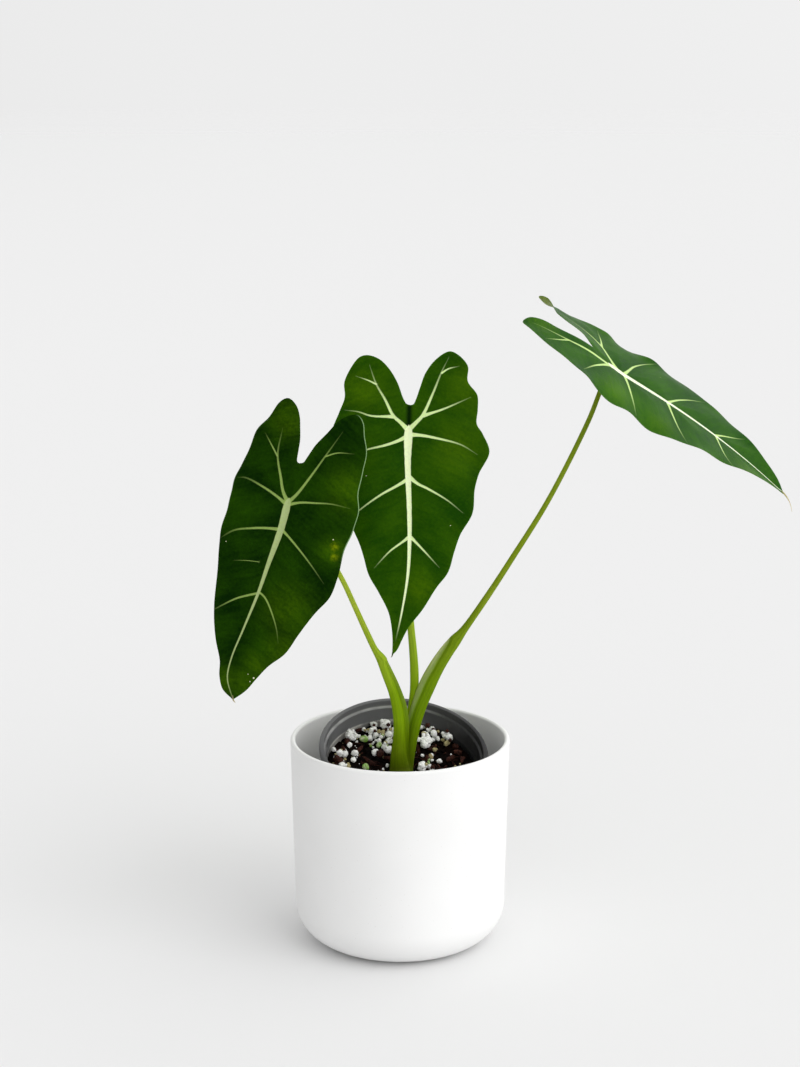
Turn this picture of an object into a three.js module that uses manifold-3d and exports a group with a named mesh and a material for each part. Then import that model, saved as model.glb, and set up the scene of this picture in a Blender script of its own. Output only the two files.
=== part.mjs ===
// A young alocasia with three leaves, growing in a dark plastic nursery pot that stands tilted
// inside a plain white cover pot.
// Millimetres, +Z up. The origin is the middle of the cover pot's flat base and -Y is the front.

import * as THREE from 'three';
import { mergeVertices } from 'three/addons/utils/BufferGeometryUtils.js';
import Module from 'manifold-3d';

const wasm = await Module();
wasm.setup();

// ---------------------------------------------------------------- driving dimensions

const GAP = 0.3;                      // clearance left between pieces that touch

const COVER_POT = {
  height: 133.5,
  rimRadius: 70,                      // outer radius at the rim
  shoulderRadius: 67.7,               // outer radius where the side meets the base curve
  baseCurve: 24.5,                    // radius of the curve from the side into the base
  wall: 3.2,
  floor: 5,
};

const NURSERY_POT = {
  height: 118,
  baseRadius: 42,
  neckRadius: 50.5,                   // outer radius just under the collar
  neckHeight: 111.6,
  collarRadius: 51.9,                 // outer radius of the straight collar band
  lipRadius: 53.7,
  lipHeight: 3.4,                     // depth of the rolled lip
  footChamfer: 2,
  wall: 1.3,
  floor: 1.6,
  leanForward: 19,                    // degrees
  leanRight: 5,                       // degrees
  footX: -7.3,
  footY: 23.3,
  drainHoleRadius: 4,
  drainHoles: 8,
  drainRing: 29,
};

// Height of the soil in the nursery pot, and how far and how wide it falls off at the wall.
const SOIL = { top: 101, edgeDrop: 1.2, edgeWidth: 8 };

const CORM = { crownRadius: 11.5, bellyRadius: 14, footRadius: 8.4, length: 34, crownDepth: 7 };
const ROOTS = {
  count: 6, startRadius: 2.1, endRadius: 0.9, innerReach: 6, reach: 24, drop: 30, twist: 0.5,
};

const BLADE = { thickness: 0.8, rings: [0.28, 0.55, 0.8, 1], outlineSteps: 36 };
const CREASE_WIDTH = 12;              // length over which a blade turns up behind its petiole

// Each leaf: where the petiole meets the blade, the blade's tip, and the way its upper side faces.
// An outline runs from the notch behind the petiole, round a lobe, to the tip:
// [distance from the midrib, distance ahead of the petiole, lift of the margin].
const LEAVES = {
  left: {
    junction: [-68.6, -28, 291.5],
    tip: [-102, -58, 176.2],
    face: [-0.27, -0.91, 0.32],
    bow: 5, fold: 0.06, droop: 0.0025,
    right: [[0, -26, 0], [2.6, -27, 0], [4.2, -31, 0], [7, -39, 0], [12, -48, 0], [17, -57, 0],
      [22, -61.5, 0], [28, -63.5, 0], [32.5, -60, 0], [35.5, -52, 0], [40, -42, 1], [40.5, -31, 0],
      [41, -18, -1], [45, -6, 1], [45, 5, 1], [43, 20, -1], [44.5, 35, 1], [43.5, 47, 1],
      [37, 59, -1], [31, 75, 1], [25.5, 88, 0], [17.5, 98, 0], [12, 107.5, 0], [7.6, 115.5, 0],
      [3, 120.8, 0], [0, 123.7, 0]],
    left: [[0, -26, 0], [1.6, -26.8, 0], [2.7, -33, 0], [3.6, -40, 0], [5.6, -47, 0], [8, -54, 0],
      [12, -60, 0], [18, -63, 0], [23, -59.5, 0], [27.5, -48.5, 0], [33, -39, 0], [35, -24, -1],
      [38, -7, 1], [37, 10, 0], [36.5, 28, 0], [32, 46.5, -1], [26.5, 72, 0], [19.4, 91, 1],
      [14, 103, 0], [12, 112, 0], [8, 119.3, 0], [0, 123.7, 0]],
  },
  centre: {
    junction: [5.3, 2, 332.1],
    tip: [-4.8, -42, 199.7],
    face: [0.01, -0.95, 0.31],
    bow: 5, fold: 0.08, droop: 0.0025,
    right: [[0, -15.5, 0], [1.8, -16.2, 0], [3.2, -19.5, 0], [5.2, -27, 0], [8, -36.5, 0],
      [14, -45.5, 0], [22, -51, 0], [28, -49, 0], [34, -42.5, 0], [34.5, -33.5, -1], [41, -25, 1],
      [42, -16, 0], [42, -7, -1], [46, -1, 1], [51, 10, 1], [45.5, 24, -1], [43.5, 34, -1],
      [43, 49.5, 1], [36.5, 63, -1], [33.5, 74, 0], [30.5, 87, 1], [24, 97, 0], [16.5, 111, 0],
      [9, 122, 0], [5.2, 130.5, 0], [2.8, 136.5, 0], [0, 139.9, 0]],
    left: [[0, -15.5, 0], [2.4, -16.2, 0], [4.7, -19.5, 0], [9, -29, 0], [15, -37.5, 0],
      [21.5, -43, 0], [28.5, -45, 0], [33.5, -43.5, 0], [39.2, -35, 0], [42, -27, -1],
      [41, -17.5, 0], [43.7, -8, 1], [48, 8, 1], [45, 26, -1], [42, 43, 1], [34, 57, -1],
      [29, 66, 0], [25, 73.5, 0], [22, 81, 1], [18, 92, 0], [11, 102.5, 0], [4, 114.5, 0],
      [0.8, 128, 0], [0, 139.9, 0]],
  },
  right: {
    junction: [131, 2, 370.9],
    tip: [238.5, -6, 292.7],
    face: [0.54, -0.31, 0.78],
    bow: 4, fold: 0, droop: 0,
    right: [[0, -17, 3.2], [4, -27, 4.8], [8.5, -41, 3.2], [12.5, -52, 2.4], [17, -59, 1.8],
      [23, -61.5, 0], [29, -56.5, -1], [34, -46, -4.4], [37, -32, -2.5], [41, -14, 0], [45, 4, -5],
      [43, 20, 1], [45, 36, -2.6], [42, 52, -1.5], [35, 68, 1.3], [29, 84, 1], [22, 98, 4],
      [14, 112, 3.5], [6, 125, 2.5], [0, 132.8, 0]],
    left: [[0, -17, 3.2], [4, -28, 3.9], [8, -42, 3], [12, -54, 2.8], [17, -61, 1.3],
      [23, -63, -1.2], [29, -58, 0.4], [34, -46, 1.6], [37, -32, 2], [41, -14, 2.4],
      [45, 4, -1.8], [43, 20, -1.2], [45, 36, -3.6], [42, 52, 0], [35, 68, 1.7], [29, 84, 0.9],
      [22, 98, 3], [14, 112, 2.8], [6, 125, 1.7], [0, 132.8, 0]],
  },
};

// Each petiole: [x, y, z, half width, half depth], from inside the corm up to the blade.
// The lower third is the wide sheath that wraps its neighbours.
const PETIOLES = {
  left: [[-1.4, -14, 103, 5.4, 3.2], [-1.2, -14.2, 117, 5.6, 3.2], [0, -14.5, 128, 5.4, 3.2],
    [0.9, -14.5, 138, 5.3, 3.1], [1.2, -14.5, 148, 5.4, 3], [-0.1, -14.5, 159, 5.3, 3],
    [-2.9, -15, 169, 4.7, 2.8], [-7.3, -15.6, 180, 4.2, 2.6], [-11.6, -16.3, 189.6, 3.2, 2.3],
    [-15.4, -16.9, 195.6, 2.1, 2.1], [-19.3, -17.5, 204, 1.9, 1.9], [-27, -19, 222, 1.7, 1.7],
    [-36.2, -20.5, 243, 1.6, 1.6], [-50.3, -22, 267.5, 1.5, 1.5], [-62, -23, 284, 1.5, 1.5],
    [-68.6, -28, 291.5, 1.6, 1.6], [-70.6, -32, 295, 1.6, 1.6]],
  centre: [[2.6, -4.6, 104, 3.8, 2.4], [3, -4.4, 117, 3.8, 2.4], [5.3, -4, 138, 3.5, 2.4],
    [8, -3.6, 158, 3, 2.4], [9, -3.2, 170, 2.9, 2.3], [9, -2.8, 180, 2.7, 2.2],
    [8.2, -2, 192, 2.5, 2.2], [7.1, -1, 204, 2.3, 2], [5.2, 2, 230, 2, 1.9],
    [3.9, 5, 262, 1.8, 1.8], [3.4, 7.5, 293, 1.7, 1.7], [4, 7.5, 318, 1.7, 1.7],
    [5.3, 2, 332.1, 1.7, 1.7], [5.6, -2, 335, 1.7, 1.7]],
  right: [[3.6, -9.6, 103, 4.6, 2.6], [4, -9.4, 117, 4.6, 2.6], [5.4, -9.2, 128, 4.6, 2.6],
    [7.2, -9, 138, 4.6, 2.6], [11, -8.6, 154, 5, 2.6], [16.9, -8.2, 170, 5.6, 2.6],
    [23.4, -7.8, 183, 5.1, 2.5], [29.9, -7.4, 193, 4.5, 2.5], [34.9, -7, 199.4, 3.8, 2.4],
    [39.9, -6.6, 205.6, 2.5, 2.3], [55, -6, 228, 2, 2], [69.5, -5, 251, 1.8, 1.8],
    [92.3, -3, 288.7, 1.6, 1.6], [116.5, -1, 338.5, 1.5, 1.5], [125.2, 0.5, 361, 1.5, 1.5],
    [131, 2, 370.9, 1.6, 1.6], [133, 1.5, 374.5, 1.6, 1.6]],
};
const PETIOLE_SIDES = 12;
const PETIOLE_STEPS = 26;

// Loose pieces on the soil: [across, up the slope, radius], from the middle of the nursery pot.
const PERLITE = [
  [-33, 27, 4.2], [-34, 19, 2.2], [-19, 42, 2.6], [-11, 42, 4], [-21, 34.5, 2.2], [-8, 26, 2.8],
  [-9, 16, 3.2], [-17, 12, 2.8], [-42, 4, 2.4], [-44, 13, 2], [-36, -3, 1.8], [-31, 4, 2],
  [12, 43, 2.4], [19, 41.5, 2.4], [28, 36, 2.6], [15, 26, 4.6], [23, 33, 1.9], [24, 9, 2],
  [13, 1, 3.6], [19.5, -2, 2],
];
const GREEN_GRANULES = [[-25, 26, 2.8], [-15, 21, 2.2], [-23, -3, 2.4]];
const TAN_GRANULES = [[21, 21, 1.8], [29, 28, 2.4], [18.5, 13.5, 1.8]];
// Bark chips: [across, up the slope, length, width, turn in degrees].
const BARK = [
  [-28, 15, 11, 2.6, 60], [-28, 36, 6, 3, 20], [-3, 36, 6, 3.4, 75], [-21, 5, 12, 2.4, -40],
  [22, 38.5, 5, 3.2, 10], [31, 13, 8, 3.4, 50], [36, 20, 6, 3.6, -15],
];

// ---------------------------------------------------------------- shared helpers

const UP = new THREE.Vector3(0, 0, 1);
const smoothPositive = (value, width) => (value + Math.hypot(value, width)) / 2;

function material(color, roughness) {
  return new THREE.MeshStandardMaterial({ color, roughness, metalness: 0 });
}

// Turns an outline of [radius, height] points about +Z.
function turned(outline, segments) {
  const points = outline.map(([radius, height]) => new THREE.Vector2(Math.max(radius, 0), height));
  return new THREE.LatheGeometry(points, segments).rotateX(Math.PI / 2);
}

// Points on an arc in an outline, angles in degrees, both ends included.
function arc(centreRadius, centreHeight, radius, from, to, steps) {
  return Array.from({ length: steps + 1 }, (_, i) => {
    const angle = THREE.MathUtils.degToRad(from + (to - from) * i / steps);
    return [centreRadius + radius * Math.cos(angle), centreHeight + radius * Math.sin(angle)];
  });
}

function signedVolume(points, faces) {
  return faces.reduce((sum, [a, b, c]) => sum + points[a].dot(points[b].clone().cross(points[c])), 0);
}

// A closed body from points and triangles, with its faces turned outwards.
function closedBody(points, faces) {
  const outward = signedVolume(points, faces) > 0 ? faces : faces.map(([a, b, c]) => [a, c, b]);
  const geometry = new THREE.BufferGeometry();
  geometry.setAttribute('position', new THREE.Float32BufferAttribute(
    points.flatMap((point) => point.toArray()), 3));
  geometry.setIndex(outward.flat());
  return geometry;
}

// A closed tube through rings that all have the same number of points.
function loft(rings) {
  const sides = rings[0].length;
  const points = rings.flat();
  const faces = [];
  for (let ring = 0; ring + 1 < rings.length; ring += 1) {
    for (let side = 0; side < sides; side += 1) {
      const next = (side + 1) % sides;
      const low = ring * sides;
      const high = low + sides;
      faces.push([low + side, low + next, high + next], [low + side, high + next, high + side]);
    }
  }
  for (const [ring, turn] of [[0, 1], [rings.length - 1, -1]]) {
    const middle = rings[ring].reduce((sum, point) => sum.add(point), new THREE.Vector3())
      .divideScalar(sides);
    const hub = points.push(middle) - 1;
    for (let side = 0; side < sides; side += 1) {
      const pair = [ring * sides + side, ring * sides + (side + 1) % sides];
      faces.push(turn > 0 ? [hub, pair[1], pair[0]] : [hub, pair[0], pair[1]]);
    }
  }
  return closedBody(points, faces);
}

// One column of a list of rows, interpolated: t runs from 0 at the first row to 1 at the last.
function columnAt(rows, column, t) {
  const at = t * (rows.length - 1);
  const low = Math.min(Math.floor(at), rows.length - 2);
  return THREE.MathUtils.lerp(rows[low][column], rows[low + 1][column], at - low);
}

function smoothCurve(rows) {
  return new THREE.CatmullRomCurve3(rows.map((row) => new THREE.Vector3(...row)), false, 'centripetal');
}

// A tube with an elliptical section along rows of [x, y, z, half width, half depth].
function taperedTube(rows, sides, steps, grow = 0) {
  const curve = smoothCurve(rows);
  const rings = Array.from({ length: steps + 1 }, (_, step) => {
    const t = step / steps;
    const along = curve.getTangent(t);
    const across = new THREE.Vector3(0, 1, 0).cross(along).normalize();
    const through = along.clone().cross(across);
    return Array.from({ length: sides }, (__, side) => {
      const angle = 2 * Math.PI * side / sides;
      return curve.getPoint(t)
        .addScaledVector(across, (columnAt(rows, 3, t) + grow) * Math.cos(angle))
        .addScaledVector(through, (columnAt(rows, 4, t) + grow) * Math.sin(angle));
    });
  });
  return loft(rings);
}

function toSolid(geometry) {
  const bare = new THREE.BufferGeometry();
  bare.setAttribute('position', geometry.getAttribute('position'));
  bare.setIndex(geometry.getIndex());
  const merged = mergeVertices(bare, 1e-4);
  return new wasm.Manifold(new wasm.Mesh({
    numProp: 3,
    vertProperties: new Float32Array(merged.getAttribute('position').array),
    triVerts: new Uint32Array(merged.getIndex().array),
  }));
}

function fromSolid(solid) {
  const { vertProperties, triVerts } = solid.getMesh();
  const geometry = new THREE.BufferGeometry();
  geometry.setAttribute('position', new THREE.BufferAttribute(vertProperties, 3));
  geometry.setIndex(new THREE.BufferAttribute(triVerts, 1));
  geometry.computeVertexNormals();
  return geometry;
}

// Cuts the given geometries out of a body and keeps the largest piece that is left.
function cutAway(body, cutters) {
  const rest = cutters.reduce((left, cutter) => left.subtract(toSolid(cutter)), toSolid(body));
  const pieces = rest.decompose().sort((a, b) => b.volume() - a.volume());
  return fromSolid(pieces[0]);
}

function joined(geometries) {
  const [first, ...others] = geometries.map(toSolid);
  return fromSolid(others.reduce((sum, solid) => sum.add(solid), first));
}

// ---------------------------------------------------------------- pots

const POT_SEGMENTS = 60;

function coverPot() {
  const { height, rimRadius, shoulderRadius, baseCurve, wall, floor } = COVER_POT;
  const lip = wall / 2;
  const curveMiddle = shoulderRadius - baseCurve;
  const outerCurve = arc(curveMiddle, baseCurve, baseCurve, -90, 0, 6);
  const innerCurve = arc(curveMiddle, floor + baseCurve - wall, baseCurve - wall, 0, -90, 5);
  const rim = arc(rimRadius - lip, height - lip, lip, 0, 180, 4);
  return turned([[0, 0], ...outerCurve, ...rim, ...innerCurve, [0, floor]], POT_SEGMENTS);
}

// Inner radius of the nursery pot's tapered wall at a height above its foot.
function nurseryInside(height) {
  const { baseRadius, neckRadius, neckHeight, wall } = NURSERY_POT;
  return baseRadius + (neckRadius - baseRadius) * height / neckHeight - wall;
}

function nurseryPot() {
  const pot = NURSERY_POT;
  const { neckHeight: neck, height: top, wall, footChamfer } = pot;
  const lipFoot = top - pot.lipHeight;
  const inside = pot.collarRadius - wall;
  const outline = [
    [0, 0], [pot.baseRadius - footChamfer, 0], [pot.baseRadius, footChamfer],
    [pot.neckRadius, neck], [pot.collarRadius, neck + wall], [pot.collarRadius, lipFoot],
    [pot.lipRadius, lipFoot], [pot.lipRadius, top - wall], [pot.lipRadius - wall, top],
    [inside, top], [inside, neck + 2 * wall], [nurseryInside(neck), neck + wall],
    [nurseryInside(pot.floor + footChamfer), pot.floor + footChamfer],
    [nurseryInside(pot.floor) - footChamfer, pot.floor], [0, pot.floor],
  ];
  const drains = Array.from({ length: pot.drainHoles }, (_, i) => {
    const angle = 2 * Math.PI * i / pot.drainHoles;
    return new THREE.CylinderGeometry(pot.drainHoleRadius, pot.drainHoleRadius, 3 * pot.floor, 12)
      .rotateX(Math.PI / 2)
      .translate(pot.drainRing * Math.cos(angle), pot.drainRing * Math.sin(angle), pot.floor / 2);
  });
  return cutAway(turned(outline, POT_SEGMENTS), drains);
}

// The nursery pot's own frame: it stands on the edge of its foot and leans on the cover pot.
function nurseryFrame() {
  const { leanForward, leanRight, footX, footY, baseRadius } = NURSERY_POT;
  const { degToRad } = THREE.MathUtils;
  const axis = new THREE.Vector3(Math.tan(degToRad(leanRight)), -Math.tan(degToRad(leanForward)), 1)
    .normalize();
  const frame = new THREE.Group();
  frame.quaternion.setFromUnitVectors(UP, axis);
  const footRise = baseRadius * Math.hypot(axis.x, axis.y);
  frame.position.set(footX, footY, COVER_POT.floor + GAP + footRise);
  frame.updateMatrixWorld(true);
  return frame;
}

// ---------------------------------------------------------------- corm, roots and soil

// The corm and its roots, in the nursery pot's frame.
function cormBody(grow = 0) {
  const top = SOIL.top - CORM.crownDepth;
  const { crownRadius, bellyRadius, footRadius, length } = CORM;
  const outline = [
    [0, top - length - grow], [footRadius + grow, top - length * 0.88 - grow],
    [bellyRadius + grow, top - length * 0.6], [bellyRadius * 0.95 + grow, top - length * 0.35],
    [crownRadius + grow, top - length * 0.09], [crownRadius + grow, top + grow], [0, top + grow],
  ];
  const roots = Array.from({ length: ROOTS.count }, (_, i) => {
    const angle = 2 * Math.PI * (i + 0.3) / ROOTS.count;
    const bend = i % 2 === 0 ? 1 : 0.75;
    const rows = [0, 0.25, 0.55, 1].map((t) => {
      const reach = ROOTS.innerReach + ROOTS.reach * bend * Math.sin(t * Math.PI / 2);
      const radius = THREE.MathUtils.lerp(ROOTS.startRadius, ROOTS.endRadius, t);
      const turn = angle + ROOTS.twist * t;
      return [
        reach * Math.cos(turn), reach * Math.sin(turn),
        top - length * 0.6 - ROOTS.drop * t * t - (t === 1 ? grow : 0), radius, radius,
      ];
    });
    return taperedTube(rows, 8, 8, grow);
  });
  return joined([turned(outline, 24), ...roots]);
}

function soilBody(cutters) {
  const low = NURSERY_POT.floor + GAP;
  const inside = (height) => nurseryInside(height) - GAP;
  const outline = [
    [0, low], [inside(low) - NURSERY_POT.footChamfer, low],
    [inside(low + NURSERY_POT.footChamfer), low + NURSERY_POT.footChamfer],
    [inside(SOIL.top - SOIL.edgeDrop), SOIL.top - SOIL.edgeDrop],
    [inside(SOIL.top) - SOIL.edgeWidth, SOIL.top],
    [0, SOIL.top],
  ];
  return cutAway(turned(outline, 48), cutters);
}

// ---------------------------------------------------------------- leaves

// The plane of a blade: T runs to the tip, N is its upper side and B runs to the viewer's right.
function bladeFrame({ junction, tip, face }) {
  const origin = new THREE.Vector3(...junction);
  const T = new THREE.Vector3(...tip).sub(origin);
  const length = T.length();
  T.normalize();
  const N = new THREE.Vector3(...face);
  N.addScaledVector(T, -N.dot(T)).normalize();
  return { origin, T, N, B: N.clone().cross(T), length };
}

// A closed sheet: rings of points from the petiole out to the margin, on both sides.
function bladeBody(leaf, grow = 0) {
  const frame = bladeFrame(leaf);
  const half = BLADE.thickness / 2 + grow;
  const outline = (rows, sign) => smoothCurve(rows.map(([x, y, lift]) => [sign * x, y, lift]));
  const steps = BLADE.outlineSteps;
  const rightSide = outline(leaf.right, 1).getPoints(steps);
  const leftSide = outline(leaf.left, -1).getPoints(steps);
  const margin = [...rightSide, ...leftSide.slice(1, -1).reverse()];
  const place = (edge, out, offset) => {
    const x = edge.x * out;
    const y = edge.y * out;
    const t = smoothPositive(y, CREASE_WIDTH) / frame.length;
    const height = 4 * leaf.bow * t * (1 - t) + leaf.fold * (Math.hypot(x, 6) - 6)
      - leaf.droop * x * x + edge.z * out * out;
    return frame.origin.clone().addScaledVector(frame.B, x).addScaledVector(frame.T, y)
      .addScaledVector(frame.N, height + offset);
  };
  const points = [];
  const faces = [];
  const ringStart = {};
  for (const offset of [half, -half]) {
    const hub = points.push(place(margin[0], 0, offset)) - 1;
    ringStart[offset] = points.length;
    for (const out of BLADE.rings) {
      margin.forEach((edge) => points.push(place(edge, out, offset)));
    }
    const flip = (a, b, c) => faces.push(offset > 0 ? [a, b, c] : [a, c, b]);
    margin.forEach((_, i) => {
      const next = (i + 1) % margin.length;
      flip(hub, ringStart[offset] + next, ringStart[offset] + i);
      for (let ring = 0; ring + 1 < BLADE.rings.length; ring += 1) {
        const inner = ringStart[offset] + ring * margin.length;
        const outer = inner + margin.length;
        flip(inner + i, inner + next, outer + next);
        flip(inner + i, outer + next, outer + i);
      }
    });
  }
  const lastRing = (BLADE.rings.length - 1) * margin.length;
  margin.forEach((_, i) => {
    const next = (i + 1) % margin.length;
    const [top, bottom] = [ringStart[half] + lastRing, ringStart[-half] + lastRing];
    faces.push([top + i, top + next, bottom + next], [top + i, bottom + next, bottom + i]);
  });
  return closedBody(points, faces);
}

// ---------------------------------------------------------------- loose pieces on the soil

// Rests a geometry on the soil: moves it so that its lowest point clears the surface.
function restOnSoil(mesh, across, upSlope) {
  mesh.geometry.computeBoundingBox();
  mesh.position.set(across, upSlope, SOIL.top + GAP - mesh.geometry.boundingBox.min.z);
}

function granule(name, [across, upSlope, radius], index, finish) {
  const geometry = new THREE.DodecahedronGeometry(radius)
    .scale(1, 0.8 + 0.05 * (index % 4), 0.78)
    .rotateZ(1.3 * index)
    .rotateX(0.3 * (index % 3));
  const mesh = new THREE.Mesh(geometry, finish);
  mesh.name = name;
  restOnSoil(mesh, across, upSlope);
  return mesh;
}

function barkChip(name, [across, upSlope, length, width, turn], finish) {
  const geometry = new THREE.CylinderGeometry(width * 0.42, width * 0.55, length, 6)
    .rotateZ(Math.PI / 2)
    .scale(1, 1, 0.7)
    .rotateZ(THREE.MathUtils.degToRad(turn));
  const mesh = new THREE.Mesh(geometry, finish);
  mesh.name = name;
  restOnSoil(mesh, across, upSlope);
  return mesh;
}

// ---------------------------------------------------------------- assembly

const part = new THREE.Group();

function add(parent, name, geometry, finish) {
  const mesh = new THREE.Mesh(geometry, finish);
  mesh.name = name;
  parent.add(mesh);
}

const innerPot = nurseryFrame();
const intoInnerPot = innerPot.matrixWorld.clone().invert();
part.add(innerPot);

const petioleTube = (side, grow = 0) => (
  taperedTube(PETIOLES[side], PETIOLE_SIDES, PETIOLE_STEPS, grow));
const inRoot = (geometry) => geometry.applyMatrix4(innerPot.matrixWorld);
const inInnerPot = (geometry) => geometry.applyMatrix4(intoInnerPot);
const sides = Object.keys(LEAVES);

add(part, 'cover_pot', coverPot(), material(0xf2f1ee, 0.6));
add(innerPot, 'nursery_pot', nurseryPot(), material(0x4a4c4d, 0.45));
add(innerPot, 'corm', cormBody(), material(0x7a6a45, 0.8));
const stemSpaces = sides.map((side) => inInnerPot(petioleTube(side, GAP)));
add(innerPot, 'soil', soilBody([cormBody(GAP), ...stemSpaces]), material(0x2a211c, 0.95));

// The left sheath is outermost at the base, then the right one, then the centre one.
const outerFirst = ['left', 'right', 'centre'];
outerFirst.forEach((side, order) => {
  const neighbours = outerFirst.slice(0, order).map((other) => petioleTube(other, GAP));
  const petiole = cutAway(petioleTube(side), [
    ...neighbours, inRoot(cormBody(GAP)), bladeBody(LEAVES[side], GAP),
  ]);
  add(part, `${side}_petiole`, petiole, material(0x7fa32a, 0.45));
});

sides.forEach((side) => add(part, `${side}_leaf`, bladeBody(LEAVES[side]), material(0x1f4f14, 0.5)));

const numbered = (kind, index) => `${kind}_${String(index + 1).padStart(2, '0')}`;
const scatter = (kind, places, finish) => places.forEach((place, index) => {
  innerPot.add(granule(numbered(kind, index), place, index, finish));
});
scatter('perlite', PERLITE, material(0xeeeee6, 0.9));
scatter('green_granule', GREEN_GRANULES, material(0x8fae5a, 0.85));
scatter('tan_granule', TAN_GRANULES, material(0xb9a878, 0.9));
BARK.forEach((place, index) => {
  innerPot.add(barkChip(numbered('bark', index), place, material(0x4b2a20, 0.9)));
});

export default part;
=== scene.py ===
"""A young alocasia in a dark nursery pot that stands tilted inside a matt white cover pot.

Lengths are written in millimetres and MM turns them into metres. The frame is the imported
model's: +Z up, the origin under the middle of the cover pot, and -Y the front.
"""
import math

import bmesh
import bpy
import numpy as np
from mathutils import Matrix, Vector, geometry, noise


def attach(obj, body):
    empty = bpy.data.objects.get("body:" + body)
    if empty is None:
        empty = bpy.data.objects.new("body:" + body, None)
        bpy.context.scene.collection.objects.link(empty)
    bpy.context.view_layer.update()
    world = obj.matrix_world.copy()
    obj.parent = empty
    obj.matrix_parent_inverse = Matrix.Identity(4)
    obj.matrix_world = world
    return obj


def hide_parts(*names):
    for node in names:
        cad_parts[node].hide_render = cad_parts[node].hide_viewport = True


MM = 0.001
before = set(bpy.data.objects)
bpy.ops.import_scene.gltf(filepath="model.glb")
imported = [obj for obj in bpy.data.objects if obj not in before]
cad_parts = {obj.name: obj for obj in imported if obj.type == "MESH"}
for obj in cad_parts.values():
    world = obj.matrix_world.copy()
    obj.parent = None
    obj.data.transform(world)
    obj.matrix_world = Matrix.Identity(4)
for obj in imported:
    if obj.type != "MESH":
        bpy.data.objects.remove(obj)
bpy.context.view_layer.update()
draw = np.random.default_rng(11)    # the order of its draws settles how the loose pieces lie


# ---------------------------------------------------------------- camera, light and floor

CAMERA_PLACE = (0, -1340, 578.7)
CAMERA_PITCH = 13.11          # degrees below the horizon
CAMERA_LENS = 74.2
FLOOR_SIZE = 400_000
FLOOR_FADE = (2.5, 14)        # metres from the pot over which the floor fades into the walls
WALL_LEVEL = 0.85             # brightness of the studio's walls straight behind the plant
WALL_SLOPE = (0.76, 0, 0.2)   # they grow brighter this way, slowly at first
SUN_POWER = 0.75
SUN_SPREAD = 50               # degrees
SUN_FROM = (0.75, -0.65, 0.9)


def studio_world():
    """Pale walls all round, brighter on the right and overhead, as from a large window."""
    world = bpy.data.worlds.new("studio")
    world.use_nodes = True
    nodes = Nodes(world.node_tree)
    slope = nodes.node("VectorMath", nodes.place("Generated"), WALL_SLOPE,
                       settings={"operation": "DOT_PRODUCT"}, output="Value")
    steeper = nodes.times(slope, nodes.math("ABSOLUTE", slope, 0.0))
    background = world.node_tree.nodes["Background"]
    nodes.join((1, 1, 1), background.inputs["Color"])
    nodes.join(nodes.plus(steeper, WALL_LEVEL), background.inputs["Strength"])
    return world


def stage_and_light():
    """The camera of the photograph, the studio, a broad soft sun and the floor."""
    scene = bpy.context.scene
    scene.view_settings.view_transform = "Standard"
    scene.world = studio_world()

    camera = bpy.data.objects.new("camera", bpy.data.cameras.new("camera"))
    camera.data.lens = CAMERA_LENS
    camera.data.clip_end = 1000
    camera.location = Vector(CAMERA_PLACE) * MM
    camera.rotation_euler = (math.radians(90 - CAMERA_PITCH), 0, 0)
    scene.collection.objects.link(camera)
    scene.camera = camera

    sun = bpy.data.objects.new("window_light", bpy.data.lights.new("window_light", "SUN"))
    sun.data.energy = SUN_POWER
    sun.data.angle = math.radians(SUN_SPREAD)
    sun.rotation_euler = Vector(SUN_FROM).to_track_quat("Z", "Y").to_euler()
    scene.collection.objects.link(sun)

    half = FLOOR_SIZE / 2
    corners = [(-half, -half, 0), (half, -half, 0), (half, half, 0), (-half, half, 0)]
    floor = make_object("floor", corners, [(0, 1, 2, 3)], smooth=False)
    finish = Finish("floor", (0.8, 0.8, 0.8))
    floor.data.materials.append(finish.done(Roughness=0.8, Specular_IOR_Level=0.2))
    # far away the floor thins out, so that no line shows where it meets the studio's walls
    away = finish.node("VectorMath", finish.place(), settings={"operation": "LENGTH"}, output="Value")
    faded = finish.node("MixShader", finish.ramp(away, *FLOOR_FADE), finish.shader.outputs["BSDF"],
                        finish.node("BsdfTransparent"))
    finish.join(faded, finish.tree.nodes["Material Output"].inputs["Surface"])


# ---------------------------------------------------------------- meshes

def make_object(name, points, faces, smooth=True):
    """An object with a mesh of points given in millimetres."""
    mesh = bpy.data.meshes.new(name)
    mesh.from_pydata((np.asarray(points, float) * MM).tolist(), [], faces)
    mesh.update()
    if smooth:
        mesh.shade_smooth()
    made = bpy.data.objects.new(name, mesh)
    bpy.context.scene.collection.objects.link(made)
    return made


def hand_over(piece, material, slot, *nodes):
    """Gives a piece its material and body, and hides the CAD nodes it stands for; slot is not used."""
    piece.data.materials.clear()
    piece.data.materials.append(material)
    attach(piece, "root")
    if nodes:
        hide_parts(*nodes)
    return piece


def set_values(piece, name, values):
    """Stores one number per vertex for the material to read."""
    layer = piece.data.attributes.new(name, "FLOAT", "POINT")
    layer.data.foreach_set("value", np.asarray(values, np.float32))


def set_map(piece, places):
    """Stores a pair of coordinates per vertex as the piece's surface map."""
    corners = np.zeros(len(piece.data.loops), np.int32)
    piece.data.loops.foreach_get("vertex_index", corners)
    layer = piece.data.uv_layers.new(name="SurfaceMap")
    layer.data.foreach_set("uv", np.asarray(places, np.float32)[corners].ravel())


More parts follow.
